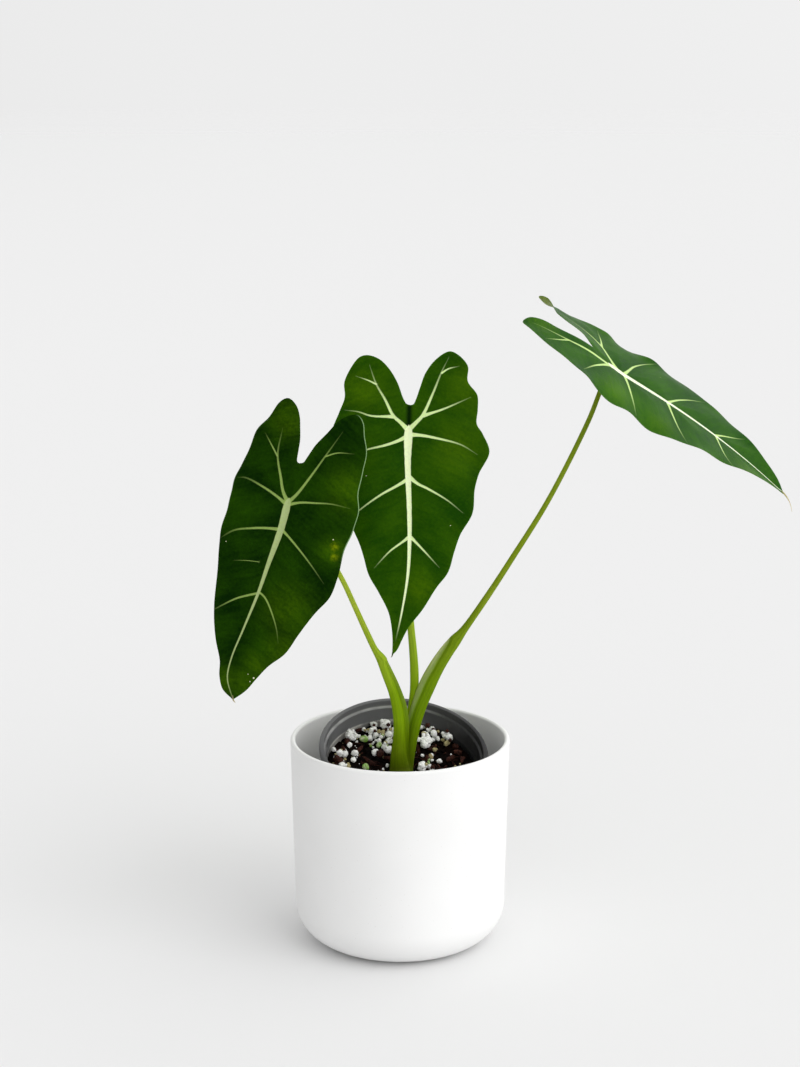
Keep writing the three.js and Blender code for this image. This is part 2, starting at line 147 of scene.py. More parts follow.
def tube(rings):
    """Points and faces of a closed skin through rings of points, with a middle point at each end."""
    rings = np.asarray(rings, float)
    count, sides = rings.shape[:2]
    points = np.vstack([rings.reshape(-1, 3), rings[0].mean(axis=0), rings[-1].mean(axis=0)])
    faces = []
    for ring in range(count - 1):
        for side in range(sides):
            low, high = ring * sides, (ring + 1) * sides
            after = (side + 1) % sides
            faces.append((low + side, low + after, high + after, high + side))
    last = (count - 1) * sides
    for side in range(sides):
        after = (side + 1) % sides
        faces.append((count * sides, after, side))
        faces.append((count * sides + 1, last + side, last + after))
    return points, faces


def ring_axes(line):
    """Two unit vectors across a line at each of its points: to the right, and to the back."""
    along = np.gradient(line, axis=0)
    along /= np.linalg.norm(along, axis=1)[:, None]
    right = np.cross((0, 1, 0), along)
    weak = np.linalg.norm(right, axis=1) < 0.2
    right[weak] = np.cross((0, 0, 1), along[weak])
    right /= np.linalg.norm(right, axis=1)[:, None]
    return right, np.cross(along, right)


def rings_about(line, across, through):
    """Rings of points round a line, from their distances to its right and behind it."""
    right, back = ring_axes(line)
    return line[:, None] + right[:, None] * across[..., None] + back[:, None] * through[..., None]


def round_rings(line, half_width, half_depth, sides):
    """Rings of an elliptical section along a line of points."""
    angle = np.linspace(0, 2 * np.pi, sides, endpoint=False)
    return rings_about(line, np.broadcast_to(half_width, len(line))[:, None] * np.cos(angle),
                       np.broadcast_to(half_depth, len(line))[:, None] * np.sin(angle))


def level_ring(radius, height, sides):
    """A ring of points round +Z; its height is one number or one for each point."""
    angle = np.linspace(0, 2 * np.pi, sides, endpoint=False)
    return np.column_stack([radius * np.cos(angle), radius * np.sin(angle), np.broadcast_to(height, sides)])


def turned(outline, segments):
    """Points and faces of an outline of (radius, height) turned about +Z; its ends lie on the axis."""
    outline = np.asarray(outline, float)
    low, *ring_rows, high = outline
    points, faces = tube([level_ring(r, z, segments) for r, z in ring_rows])
    points[-2] = (0, 0, low[1])
    points[-1] = (0, 0, high[1])
    return points, faces


def rounded(rows, steps=6):
    """An outline with its corners rounded: each row is (radius, height, corner radius)."""
    made = []
    for i, (r, z, corner) in enumerate(rows):
        here = np.array([r, z], float)
        if not corner:
            made.append(here)
            continue
        before = np.array(rows[i - 1][:2], float) - here
        after = np.array(rows[i + 1][:2], float) - here
        before /= np.linalg.norm(before)
        after /= np.linalg.norm(after)
        half_angle = np.arccos(np.clip(before @ after, -1, 1)) / 2
        reach = corner / np.tan(half_angle)
        for t in np.linspace(0, 1, steps + 1):
            start, end = here + before * reach, here + after * reach
            made.append((1 - t) ** 2 * start + 2 * t * (1 - t) * here + t * t * end)
    return made


def catmull_rom(points, spans=10):
    """A smooth line through points, with extra columns carried along (centripetal)."""
    rows = np.asarray(points, float)
    rows = np.vstack([2 * rows[0] - rows[1], rows, 2 * rows[-1] - rows[-2]])
    made = []
    for a, b, c, d in zip(rows, rows[1:], rows[2:], rows[3:]):
        knots = np.cumsum([0, *(np.linalg.norm(q - p) ** 0.5 for p, q in ((a, b), (b, c), (c, d)))])
        t0, t1, t2, t3 = knots
        for t in np.linspace(t1, t2, spans, endpoint=False):
            ab = a + (b - a) * (t - t0) / (t1 - t0)
            bc = b + (c - b) * (t - t1) / (t2 - t1)
            cd = c + (d - c) * (t - t2) / (t3 - t2)
            abc = ab + (bc - ab) * (t - t0) / (t2 - t0)
            bcd = bc + (cd - bc) * (t - t1) / (t3 - t1)
            made.append(abc + (bcd - abc) * (t - t1) / (t2 - t1))
    made.append(rows[-2])
    return np.array(made)


def evenly(line, step, measured=2):
    """The same line with points an even step apart, measured on its first columns."""
    steps = np.linalg.norm(np.diff(line[:, :measured], axis=0), axis=1)
    along = np.concatenate([[0], np.cumsum(steps)])
    count = max(2, int(round(along[-1] / step)) + 1)
    places = np.linspace(0, along[-1], count)
    return np.stack([np.interp(places, along, column) for column in line.T], axis=1)


def smooth_step(low, high, value):
    """0 up to low and 1 from high on, with a smooth rise between them."""
    t = np.clip((value - low) / (high - low), 0, 1)
    return t * t * (3 - 2 * t)


# ---------------------------------------------------------------- materials

class Nodes:
    """Makes and joins the nodes of one tree. A value for a node is a socket or a constant."""

    def __init__(self, tree):
        self.tree = tree

    def join(self, value, socket):
        """Links a socket to another, or sets a constant on it; colours get an alpha of 1."""
        if isinstance(value, bpy.types.NodeSocket):
            self.tree.links.new(value, socket)
        else:
            socket.default_value = (*value, 1) if socket.type == "RGBA" else value

    def node(self, kind, *values, settings=None, output=0, **inputs):
        """One output of a new node whose inputs are given in their order or by name."""
        made = self.tree.nodes.new("ShaderNode" + kind)
        for key, value in (settings or {}).items():
            setattr(made, key, value)
        for socket, value in zip(made.inputs, values):
            self.join(value, socket)
        for key, value in inputs.items():
            self.join(value, made.inputs[key.replace("_", " ")])
        return made.outputs[output]

    def place(self, kind="Object", scale=None):
        """Coordinates: in metres, or another kind such as the surface map's, stretched by scale."""
        where = self.node("TexCoord", output=kind)
        return self.node("Mapping", where, Scale=scale) if scale else where

    def noise(self, scale, detail, where=None, roughness=0.55, distortion=0.0):
        where = self.place() if where is None else where
        return self.node("TexNoise", Vector=where, Scale=scale, Detail=detail,
                         Roughness=roughness, Distortion=distortion)

    def cells(self, scale):
        return self.node("TexVoronoi", Vector=self.place(), Scale=scale)

    def value(self, name):
        """A number that set_values stored on the piece."""
        return self.node("Attribute", settings={"attribute_name": name}, output="Fac")

    def ramp(self, source, low, high, from_value=0.0, to_value=1.0):
        """Maps source from low..high to from_value..to_value, held at both ends."""
        return self.node("MapRange", source, low, high, from_value, to_value)

    def math(self, operation, first, *others):
        for other in others:
            first = self.node("Math", first, other, settings={"operation": operation})
        return first

    def times(self, *values):
        return self.math("MULTIPLY", *values)

    def plus(self, *values):
        return self.math("ADD", *values)

    def mix(self, amount, first, second):
        """Mixes two colours."""
        made = self.tree.nodes.new("ShaderNodeMix")
        made.data_type = "RGBA"
        factor, a, b = made.inputs[0], made.inputs[6], made.inputs[7]
        for value, socket in ((amount, factor), (first, a), (second, b)):
            self.join(value, socket)
        return made.outputs[2]


class Finish(Nodes):
    """A material whose colour is built up in coats over a ground colour."""

    def __init__(self, name, ground):
        self.material = bpy.data.materials.new(name)
        self.material.use_nodes = True
        super().__init__(self.material.node_tree)
        self.shader = self.tree.nodes["Principled BSDF"]
        self.colour = ground

    def coat(self, colour, source, low=0.0, high=1.0, most=1.0):
        """Lays a colour over the last, from none where source is low to most where it is high."""
        self.colour = self.mix(self.ramp(source, low, high, 0.0, most), self.colour, colour)

    def done(self, *bumps, rough=None, **shader):
        """Fills in the shader and gives the material.

        Each bump is (height, depth in millimetres); rough is (pattern, lowest, highest).
        """
        shader["Base_Color"] = self.colour
        if rough:
            shader["Roughness"] = self.ramp(rough[0], 0.3, 0.7, *rough[1:])
        for height, depth in bumps:
            under = {"Normal": shader["Normal"]} if "Normal" in shader else {}
            shader["Normal"] = self.node("Bump", Height=height, Distance=depth * MM,
                                         Strength=1.0, **under)
        for key, value in shader.items():
            self.join(value, self.shader.inputs[key.replace("_", " ")])
        return self.material


# ---------------------------------------------------------------- leaf blades

# Each leaf: where the petiole meets the blade, the blade's tip, and the way its upper side faces.
# An outline runs from the notch behind the petiole, round a lobe, to the tip:
# (distance from the midrib, distance ahead of the petiole, and the margin's lift if it has one).
# The midrib is a line of (right of the petiole, ahead of it, half width), and a side vein a line of
# (right, ahead) with its half width at both ends. Spots are (right, ahead, radius).
LEAVES = {
    "left": dict(
        junction=(-68.6, -28, 291.5), tip=(-102, -58, 176.2), face=(-0.27, -0.91, 0.32),
        bow=5, fold=0.06, droop=0.0025, ripple=0.4, ripple_phase=0.0, crease=0.4,
        edges=(0.15, 0.9), edge_start=(26, 32), edge_end=(12, 30),
        right=[(0, -26), (2.6, -27), (4.2, -31), (7, -39), (12, -48), (17, -57), (22, -61.5), (28, -63.5),
               (32.5, -60), (35.5, -52), (40, -42, 1), (40.5, -31), (41, -18, -1), (45, -6, 1), (45, 5, 1),
               (43, 20, -1), (44.5, 35, 1), (43.5, 47, 1), (37, 59, -1), (31, 75, 1), (25.5, 88),
               (17.5, 98), (12, 107.5), (7.6, 115.5), (3, 120.8), (0, 123.7)],
        left=[(0, -26), (1.6, -26.8), (2.7, -33), (3.6, -40), (5.6, -47), (8, -54), (12, -60), (18, -63),
              (23, -59.5), (27.5, -48.5), (33, -39), (35, -24, -1), (38, -7, 1), (37, 10), (36.5, 28),
              (32, 46.5, -1), (26.5, 72), (19.4, 91, 1), (14, 103), (12, 112), (8, 119.3), (0, 123.7)],
        midrib=[(0, -3.5, 0.5), (0, -1, 1.9), (1, 16, 2.1), (0, 38, 1.35), (-1, 57, 0.95), (-4, 80, 0.6),
                (-7, 100, 0.45), (-6.5, 112, 0.38), (-1, 122, 0.25)], midrib_end=(108, 140),
        hair=[(-0.5, 121, 0.5), (0.2, 123.5, 0.45), (2, 125.3, 0.1)], hair_drop=1, dry=0.6,
        yellow=[(37, 17.5, 2.2), (38.5, 23.5, 2)],
        specks=[(35, 13.5, 0.45), (10.4, 107.3, 0.7), (6.3, 106, 0.35), (8.6, 110, 0.45), (-31, 32, 0.4)],
        pale=[(34, -18, 12), (20, 62, 14), (24, 86, 11), (-14, -50, 11), (-7, 114, 8), (5, 112, 9),
              (10, 100, 8), (36, 20, 7)],
        veins=[
            ([(0, -1), (-5, -7), (-9, -15), (-15, -28), (-16.5, -44)], 1.05, 0.3),
            ([(-15, -27), (-20, -32), (-26.5, -38.5)], 0.5, 0.25),
            ([(0, -1), (4, -7), (10, -21), (15, -34), (21.5, -51)], 1.05, 0.2),
            ([(15, -34), (22, -38), (32, -40)], 0.45, 0.15),
            ([(-1, 0), (-8, -3), (-17, -6), (-31, -9), (-36, -8)], 0.85, 0.4),
            ([(1, 0), (8, -3), (17, -5), (27, -7), (38.5, -7.4)], 0.8, 0.2),
            ([(1, 16), (-8, 17.5), (-16, 19.6), (-28, 24), (-35.3, 30.5)], 0.85, 0.4),
            ([(1, 15.5), (8, 19.5), (18, 26), (27, 32.5), (37, 40.5)], 0.75, 0.2),
            ([(-7, 38.7), (-14, 39.8), (-22, 41.7)], 0.1, 0.1),
            ([(-1, 57), (-7, 60), (-14, 64), (-27, 75)], 0.7, 0.3),
            ([(-1, 56), (4, 58.5), (10, 65), (16.4, 74.6), (19.6, 82)], 0.6, 0.25),
        ]),
    "centre": dict(
        junction=(5.3, 2, 332.1), tip=(-4.8, -42, 199.7), face=(0.01, -0.95, 0.31),
        bow=5, fold=0.08, droop=0.0025, ripple=0.4, ripple_phase=1.9, crease=1.0,
        edges=(0.25, 0.4), edge_start=(0, 1), edge_end=(150, 160),
        right=[(0, -15.5), (1.8, -16.2), (3.2, -19.5), (5.2, -27), (8, -36.5), (14, -45.5), (22, -51),
               (28, -49), (34, -42.5), (34.5, -33.5, -1), (41, -25, 1), (42, -16), (42, -7, -1),
               (46, -1, 1), (51, 10, 1), (45.5, 24, -1), (43.5, 34, -1), (43, 49.5, 1), (36.5, 63, -1),
               (33.5, 74), (30.5, 87, 1), (24, 97), (16.5, 111), (9, 122), (5.2, 130.5), (2.8, 136.5),
               (0, 139.9)],
        left=[(0, -15.5), (2.4, -16.2), (4.7, -19.5), (9, -29), (15, -37.5), (21.5, -43), (28.5, -45),
              (33.5, -43.5), (39.2, -35), (42, -27, -1), (41, -17.5), (43.7, -8, 1), (48, 8, 1),
              (45, 26, -1), (42, 43, 1), (34, 57, -1), (29, 66), (25, 73.5), (22, 81, 1), (18, 92),
              (11, 102.5), (4, 114.5), (0.8, 128), (0, 139.9)],
        midrib=[(0, -2.5, 0.5), (0, 0.5, 2.2), (1, 21, 1.85), (4, 50, 1.4), (5.5, 69, 1.15), (6, 90, 0.8),
                (4, 113, 0.5), (1.6, 130, 0.3), (0.2, 139, 0.2)], midrib_end=(112, 133),
        hair=[(0.3, 138, 0.5), (0, 140.2, 0.35), (-0.6, 141.3, 0.1)], hair_drop=0.6, dry=0.3,
        yellow=[],
        specks=[(30, 58, 0.35), (-24, 31, 0.3)],
        pale=[(33, -30, 12), (30, 10, 14), (-30, -22, 14), (14, 98, 9), (0, 134, 7)],
        veins=[
            ([(0, 0), (4.5, -5), (8, -9.5), (13.5, -24), (18, -38), (21.5, -46.5)], 1.3, 0.2),
            ([(8.5, -9.5), (14, -11.7), (21, -14.7), (36.5, -23)], 0.9, 0.2),
            ([(18, -37), (22, -40), (28, -42)], 0.6, 0.15),
            ([(0, 0.5), (-5, -4), (-10, -8), (-16, -18), (-22, -27), (-27, -38.5)], 1.3, 0.2),
            ([(-10, -7.5), (-24, -7), (-32, -9), (-40, -9.5)], 0.9, 0.15),
            ([(-22, -27), (-27, -29), (-34, -31)], 0.55, 0.12),
            ([(1, 3), (8, 3), (17, 4), (33, 7), (43, 12)], 1.1, 0.2),
            ([(3, 30), (8, 33.5), (14, 36), (27, 42.5), (37, 49.5)], 0.95, 0.18),
            ([(5.5, 66.5), (9, 69.5), (14, 74), (24.5, 84)], 0.85, 0.18),
            ([(0, 4), (-7, 8), (-14, 11), (-26, 15), (-38, 22)], 1.1, 0.2),
            ([(2, 31), (-5, 36), (-14, 42), (-26, 52), (-36, 62)], 0.95, 0.18),
            ([(5.5, 66.5), (1, 70.5), (-6, 76.5), (-14.5, 87)], 0.8, 0.18),
        ]),
    "right": dict(
        junction=(131, 2, 370.9), tip=(238.5, -6, 292.7), face=(0.54, -0.31, 0.78),
        bow=4, fold=0, droop=0, ripple=0.15, ripple_phase=3.8, crease=0.3,
        edges=(0.35, 0.35), edge_start=(0, 1), edge_end=(150, 160),
        curl=dict(axis=22, between=(46, 58), angle=24),
        right=[(0, -17, 3.2), (4, -27, 4.8), (8.5, -41, 3.2), (12.5, -52, 2.4), (17, -59, 1.8), (23, -61.5),
               (29, -56.5, -1), (34, -46, -4.4), (37, -32, -2.5), (41, -14), (45, 4, -5), (43, 20, 1),
               (45, 36, -2.6), (42, 52, -1.5), (35, 68, 1.3), (29, 84, 1), (22, 98, 4), (14, 112, 3.5),
               (6, 125, 2.5), (0, 132.8)],
        left=[(0, -17, 3.2), (4, -28, 3.9), (8, -42, 3), (12, -54, 2.8), (17, -61, 1.3), (23, -63, -1.2),
              (29, -58, 0.4), (34, -46, 1.6), (37, -32, 2), (41, -14, 2.4), (45, 4, -1.8), (43, 20, -1.2),
              (45, 36, -3.6), (42, 52), (35, 68, 1.7), (29, 84, 0.9), (22, 98, 3), (14, 112, 2.8),
              (6, 125, 1.7), (0, 132.8)],
        midrib=[(0, -3.5, 0.6), (0, -0.5, 1.9), (-1, 8, 2.1), (0, 40, 1.45), (1, 76, 0.95), (1, 106, 0.55),
                (0, 131, 0.3)], midrib_end=(128, 150),
        hair=[(0, 130, 0.6), (0, 134, 0.45), (0.5, 139, 0.22), (0.5, 144, 0.1)], hair_drop=7, dry=1,
        yellow=[],
        specks=[(25, 30, 0.3)],
        pale=[(-30, 8, 12), (-34, 40, 11), (-18, 104, 10), (-14, -52, 10)],
        veins=[
            ([(-1, -1), (-4.5, -10), (-8, -21), (-12.5, -33), (-20, -56)], 1.3, 0.2),
            ([(-12.5, -33), (-19, -38), (-29, -46)], 0.55, 0.12),
            ([(0, 3), (7.5, -5.5), (14, -12.5), (19, -25), (19, -46)], 1.2, 0.2),
            ([(14, -12), (24, -14), (35, -18)], 0.8, 0.15),
            ([(-2, -3), (-11, -8), (-19, -12), (-33, -17)], 1.0, 0.2),
            ([(0, 8), (9, 10), (18, 12), (32, 18), (42, 25)], 1.0, 0.2),
            ([(-1, 8), (-10, 12), (-20, 16), (-40, 24)], 1.0, 0.2),
            ([(0, 40), (12, 46), (24, 54), (34, 63)], 0.9, 0.2),
            ([(-1, 40), (-12, 45), (-24, 51), (-37, 59)], 0.9, 0.2),
            ([(1, 76), (6, 80), (11, 85), (20, 95)], 0.8, 0.15),
            ([(0, 77), (-9, 81), (-18, 86), (-25, 92)], 0.75, 0.15),
        ]),
}
MAP_SCALE = 0.01              # a unit of the flat maps that the grain is drawn on, per millimetre
CREASE_WIDTH = 12             # length over which a blade turns up behind its petiole
FOLD_ROUNDING = 6             # the fold along the midrib is rounded over this width
HELD_END = 4                  # the midrib holds a blade down up to this far from its tip
LIFT_SOFTNESS = 0.1
POINTS_AT_ONCE = 4000
BLADE_HALF_THICKNESS = 0.3
OUTLINE_STEP = 0.8
VEIN_STEP = 0.6
GRID_STEP = 1.15
ROW_STEP = GRID_STEP * 0.87   # between the grid's rows, which makes even triangles
RIM_INSETS = (0.5, 1.1)       # rows of points this far inside the outline
RIM_CLEARANCE = 0.3           # no other point lies nearer to it
MARK_CELL = 0.5
SAME_POINT = 0.15             # points closer than this are taken as one
HAIR_STEP = 0.4
HAIR_SIDES = 10
VEIN_EDGE = 0.22              # a vein's colour fades out over this much on each side of its edge
THINNEST_VEIN = 0.1
STRONG_VEIN = 0.7             # veins with a larger half width swell where they leave the midrib
FOOT_SWELL = 0.35
FOOT_LENGTH = 4
VEIN_FADE = 0.85              # how much of its colour a side vein loses towards its end
UNEVENNESS = 0.06             # of the veins' widths


class Blade:
    """One leaf blade: its plane, its outline and the height of its surface above the plane."""

    def __init__(self, leaf):
        self.leaf = leaf
        self.origin = np.array(leaf["junction"], float)
        ahead = np.array(leaf["tip"], float) - self.origin
        self.length = float(np.linalg.norm(ahead))
        self.ahead = ahead / self.length
        face = np.array(leaf["face"], float)
        face -= face.dot(self.ahead) * self.ahead
        self.up = face / np.linalg.norm(face)
        self.right = np.cross(self.up, self.ahead)
        self.sides = {side: catmull_rom([(*row, 0)[:3] for row in leaf[name]])
                      for side, name in ((1, "right"), (-1, "left"))}
        loop = [self.sides[1], (self.sides[-1] * (-1, 1, 1))[::-1][1:]]
        self.outline = evenly(np.vstack(loop), OUTLINE_STEP)[:-1]
        self.veins = vein_lines(leaf)
        midrib = self.veins[0]
        held = midrib[(midrib[:, 1] > 0) & (midrib[:, 1] < self.length - HELD_END)]
        self.anchors = np.vstack([self.outline, np.column_stack([held[:, :2], np.zeros(len(held))])])
        self.margin = np.column_stack([np.vstack([self.outline, self.outline[:1]])[:, :2],
                                       np.ones(len(self.outline) + 1)])

    def out(self, x, y):
        """How far out a point lies, from 0 at the petiole to 1 at the margin."""
        out = np.zeros_like(x)
        for side, rows in self.sides.items():
            turn = np.maximum.accumulate(np.arctan2(rows[:, 0], -rows[:, 1]))
            reach = np.hypot(rows[:, 0], rows[:, 1])
            here = x >= 0 if side > 0 else x < 0
            angle = np.arctan2(np.abs(x[here]), -y[here])
            out[here] = np.hypot(x[here], y[here]) / np.interp(angle, turn, reach)
        return np.minimum(out, 1)

    def lift(self, x, y):
        """The margin's lift, spread smoothly over the blade, which its midrib holds down."""
        lifts = np.zeros_like(x)
        for start in range(0, len(x), POINTS_AT_ONCE):
            part = slice(start, start + POINTS_AT_ONCE)
            near = 1 / ((x[part, None] - self.anchors[:, 0]) ** 2
                        + (y[part, None] - self.anchors[:, 1]) ** 2 + LIFT_SOFTNESS)
            lifts[part] = near @ self.anchors[:, 2] / near.sum(axis=1)
        return lifts

    def height(self, x, y):
        """Height of the blade's middle over its plane: its bow, fold, droop and lift."""
        leaf = self.leaf
        t = (y + np.hypot(y, CREASE_WIDTH)) / 2 / self.length
        fold = leaf["fold"] * (np.hypot(x, FOLD_ROUNDING) - FOLD_ROUNDING)
        return 4 * leaf["bow"] * t * (1 - t) + fold - leaf["droop"] * x * x + self.lift(x, y)

    def place(self, x, y, height):
        """Points in millimetres from places on the blade, with the roll of a curled lobe."""
        curl = self.leaf.get("curl")
        if curl:
            axis = np.full_like(x, curl["axis"])
            turn = math.radians(curl["angle"]) * smooth_step(*curl["between"], -y) * (x > 0)
            across, above = x - axis, height - self.height(axis, y)
            x = np.where(x > 0, axis + across * np.cos(turn) + above * np.sin(turn), x)
            height = height + (above * (np.cos(turn) - 1) - across * np.sin(turn))
        return self.in_world(x, y, height)

    def in_world(self, x, y, height):
        """Points in millimetres from places over the blade's flat plane."""
        return (self.origin + np.outer(x, self.right) + np.outer(y, self.ahead)
                + np.outer(height, self.up))


def distance_to_line(x, y, line):
    """Distance of each point to a line, and the line's other columns at the nearest place."""
    best = np.full(len(x), 1e9)
    other = np.ones((line.shape[1] - 2, len(x)))
    for a, b in zip(line[:-1], line[1:]):
        run = b[:2] - a[:2]
        t = np.clip(((x - a[0]) * run[0] + (y - a[1]) * run[1]) / (run @ run), 0, 1)
        gap = np.hypot(x - a[0] - t * run[0], y - a[1] - t * run[1])
        nearer = gap < best
        best[nearer] = gap[nearer]
        other[:, nearer] = (a[2:, None] + (b - a)[2:, None] * t)[:, nearer]
    return best, other


def vein_lines(leaf):
    """All veins of a leaf as even lines of (x, y, half width, strength), the midrib first."""
    midrib = evenly(catmull_rom(leaf["midrib"]), VEIN_STEP)
    fade = 1 - smooth_step(*leaf["midrib_end"], midrib[:, 1])
    lines = [np.column_stack([midrib, fade])]
    for points, start, end in leaf["veins"]:
        line = evenly(catmull_rom(points), VEIN_STEP)
        t = np.linspace(0, 1, len(line))
        gone = np.arange(len(line)) * VEIN_STEP
        width = (start + (end - start) * t ** 0.8) * (1 - smooth_step(0.9, 1, t))
        width *= 1 + (FOOT_SWELL if start > STRONG_VEIN else 0) * np.exp(-(gone / FOOT_LENGTH) ** 2)
        strength = 1 - VEIN_FADE * smooth_step(0.35, 1.05, t)
        lines.append(np.column_stack([line, np.maximum(width, THINNEST_VEIN), strength]))
    for number, line in enumerate(lines):
        uneven = [noise.noise(Vector((0.35 * x, 0.35 * y, 4.0 * number))) for x, y in line[:, :2]]
        line[:, 2] *= 1 + UNEVENNESS * np.array(uneven)
    return lines


def beside(line, gap):
    """A row of points at a distance beside a line."""
    run = np.gradient(line[:, :2], axis=0)
    run /= np.linalg.norm(run, axis=1)[:, None]
    return line[:, :2] + np.column_stack([-run[:, 1], run[:, 0]]) * np.reshape(gap, (-1, 1))


def blade_points(blade):
    """The points that a blade's mesh is made on: outline first, then veins, then a plain grid."""
    outline = blade.outline[:, :2]
    rows = []
    for line in blade.veins:
        width = line[:, 2]
        rows.append(line[:, :2])
        inside = np.maximum(width - VEIN_EDGE, SAME_POINT)
        for gap in (0.5 * width, inside, width + VEIN_EDGE, width + 1):
            rows += [beside(line, gap), beside(line, -gap)]
    for x, y, radius in blade.leaf["specks"]:
        near = np.arange(-2, 2.1, 0.5) * radius
        rows.append(np.array([(x + dx, y + dy) for dx in near for dy in near]))
    run = np.roll(outline, -1, axis=0) - np.roll(outline, 1, axis=0)
    inward = np.column_stack([-run[:, 1], run[:, 0]]) / np.linalg.norm(run, axis=1)[:, None]
    rows += [outline + inward * inset for inset in RIM_INSETS]
    detail = np.vstack(rows)
    low, high = outline.min(axis=0) - 1, outline.max(axis=0) + 1
    xs = np.arange(low[0], high[0], GRID_STEP)
    ys = np.arange(low[1], high[1], ROW_STEP)
    grid = np.array([(x + (row % 2) * GRID_STEP / 2, y) for row, y in enumerate(ys) for x in xs])
    # keep the grid clear of the detailed rows, by marking the square cells round them
    marks = np.zeros(np.ceil((high - low) / MARK_CELL).astype(int) + 3, bool)
    busy = ((np.vstack([detail, outline]) - low) / MARK_CELL).astype(int) + 1
    busy = busy.clip(1, np.array(marks.shape) - 2)
    for dx in (-1, 0, 1):
        for dy in (-1, 0, 1):
            marks[busy[:, 0] + dx, busy[:, 1] + dy] = True
    where = ((grid - low) / MARK_CELL).astype(int) + 1
    inner = np.vstack([detail, grid[~marks[where[:, 0], where[:, 1]]]])
    _, first = np.unique(np.round(inner / SAME_POINT).astype(int), axis=0, return_index=True)
    inner = inner[np.sort(first)]
    gap, _ = distance_to_line(*inner.T, blade.margin)
    return outline, inner[(blade.out(*inner.T) < 1) & (gap > RIM_CLEARANCE)]


def triangulate(outline, inner):
    """Flat points and triangles that fill an outline, turned to face upwards."""
    loop = len(outline)
    points = [Vector(p) for p in np.vstack([outline, inner])]
    edges = [(i, (i + 1) % loop) for i in range(loop)]
    made = geometry.delaunay_2d_cdt(points, edges, [], 1, 1e-5)
    flat = np.array([tuple(p) for p in made[0]])
    faces = np.array([f for f in made[2] if len(f) == 3])
    a, b, c = (flat[faces[:, i]] for i in range(3))
    area = (b[:, 0] - a[:, 0]) * (c[:, 1] - a[:, 1]) - (b[:, 1] - a[:, 1]) * (c[:, 0] - a[:, 0])
    faces[area < 0] = faces[area < 0][:, ::-1]
    return flat, faces[np.abs(area) > 1e-9]


def rim_edges(faces):
    """Edges that belong to one face only, in that face's direction."""
    edges = np.vstack([faces[:, [0, 1]], faces[:, [1, 2]], faces[:, [2, 0]]])
    key = np.sort(edges, axis=1)
    _, first, count = np.unique(key, axis=0, return_index=True, return_counts=True)
    return edges[first[count == 1]]


PUFF = 1.1                    # how far the blade swells between its veins
PUFF_REACH = 9.0
PUFF_SINK = 0.3
PUFF_AT_RIM = 0.35            # the share of it that is left at the margin
PUFF_INSET = 14               # and how far inside the margin it is full
RIM_THINNESS = 0.4            # a blade's thickness at the margin, against that in its middle
RIM_WIDTH = 2.5
RIPPLES = 17                  # waves round the margin
CREASE_LINE = np.array([(-0.5, -14.0), (-0.3, -8.0), (0.0, -2.5)])    # the fold behind the petiole
CREASE_SPREAD = 1.9
CREASE_DEPTH = 0.7
RIDGE_ABOVE, RIDGE_BELOW = 0.22, 0.5      # how far a vein stands out, in half widths


def blade_relief(blade, x, y):
    """Everything that the blade's surface does at (x, y), as a dictionary of arrays."""
    leaf = blade.leaf
    gaps, others = zip(*(distance_to_line(x, y, line) for line in blade.veins))
    gaps = np.array(gaps)
    widths, strengths = np.array(others).transpose(1, 0, 2)
    veins = strengths * smooth_step(VEIN_EDGE, -np.minimum(VEIN_EDGE, widths), gaps - widths)
    nearest = gaps.min(axis=0)
    ridge = (widths * np.exp(-(gaps / widths) ** 2)).max(axis=0)
    out = blade.out(x, y)
    margin, _ = distance_to_line(x, y, blade.margin)
    inner = PUFF_AT_RIM + (1 - PUFF_AT_RIM) * smooth_step(0, PUFF_INSET, margin)
    puff = PUFF * (1 - np.exp(-(nearest / PUFF_REACH) ** 2)) * inner - PUFF_SINK
    wave = np.sin(RIPPLES * np.arctan2(x, -y) + leaf["ripple_phase"])
    crease_gap, _ = distance_to_line(x, y, CREASE_LINE)
    crease = leaf["crease"] * np.exp(-(crease_gap / CREASE_SPREAD) ** 2)
    middle = blade.height(x, y) + puff + leaf["ripple"] * wave * out ** 6 - CREASE_DEPTH * crease
    half = BLADE_HALF_THICKNESS * (
        RIM_THINNESS + (1 - RIM_THINNESS) * smooth_step(0, RIM_WIDTH, margin))
    glow = np.where(x > 0, leaf["edges"][1], leaf["edges"][0])
    glow = glow * (1 - smooth_step(*leaf["edge_end"], y)) * smooth_step(*leaf["edge_start"], np.abs(x))
    return dict(
        upper=middle + half - RIDGE_ABOVE * ridge, lower=middle - half - RIDGE_BELOW * ridge,
        vein=veins.max(axis=0), midrib=veins[0], near_vein=nearest, margin=margin,
        crease=crease, edge_glow=glow)


def spots(x, y, places):
    """1 in the middle of the nearest of some round places (x, y, radius), falling to 0 outside it."""
    amount = np.zeros(len(x))
    for px, py, radius in places:
        amount = np.maximum(amount, np.exp(-((x - px) ** 2 + (y - py) ** 2) / radius ** 2))
    return amount


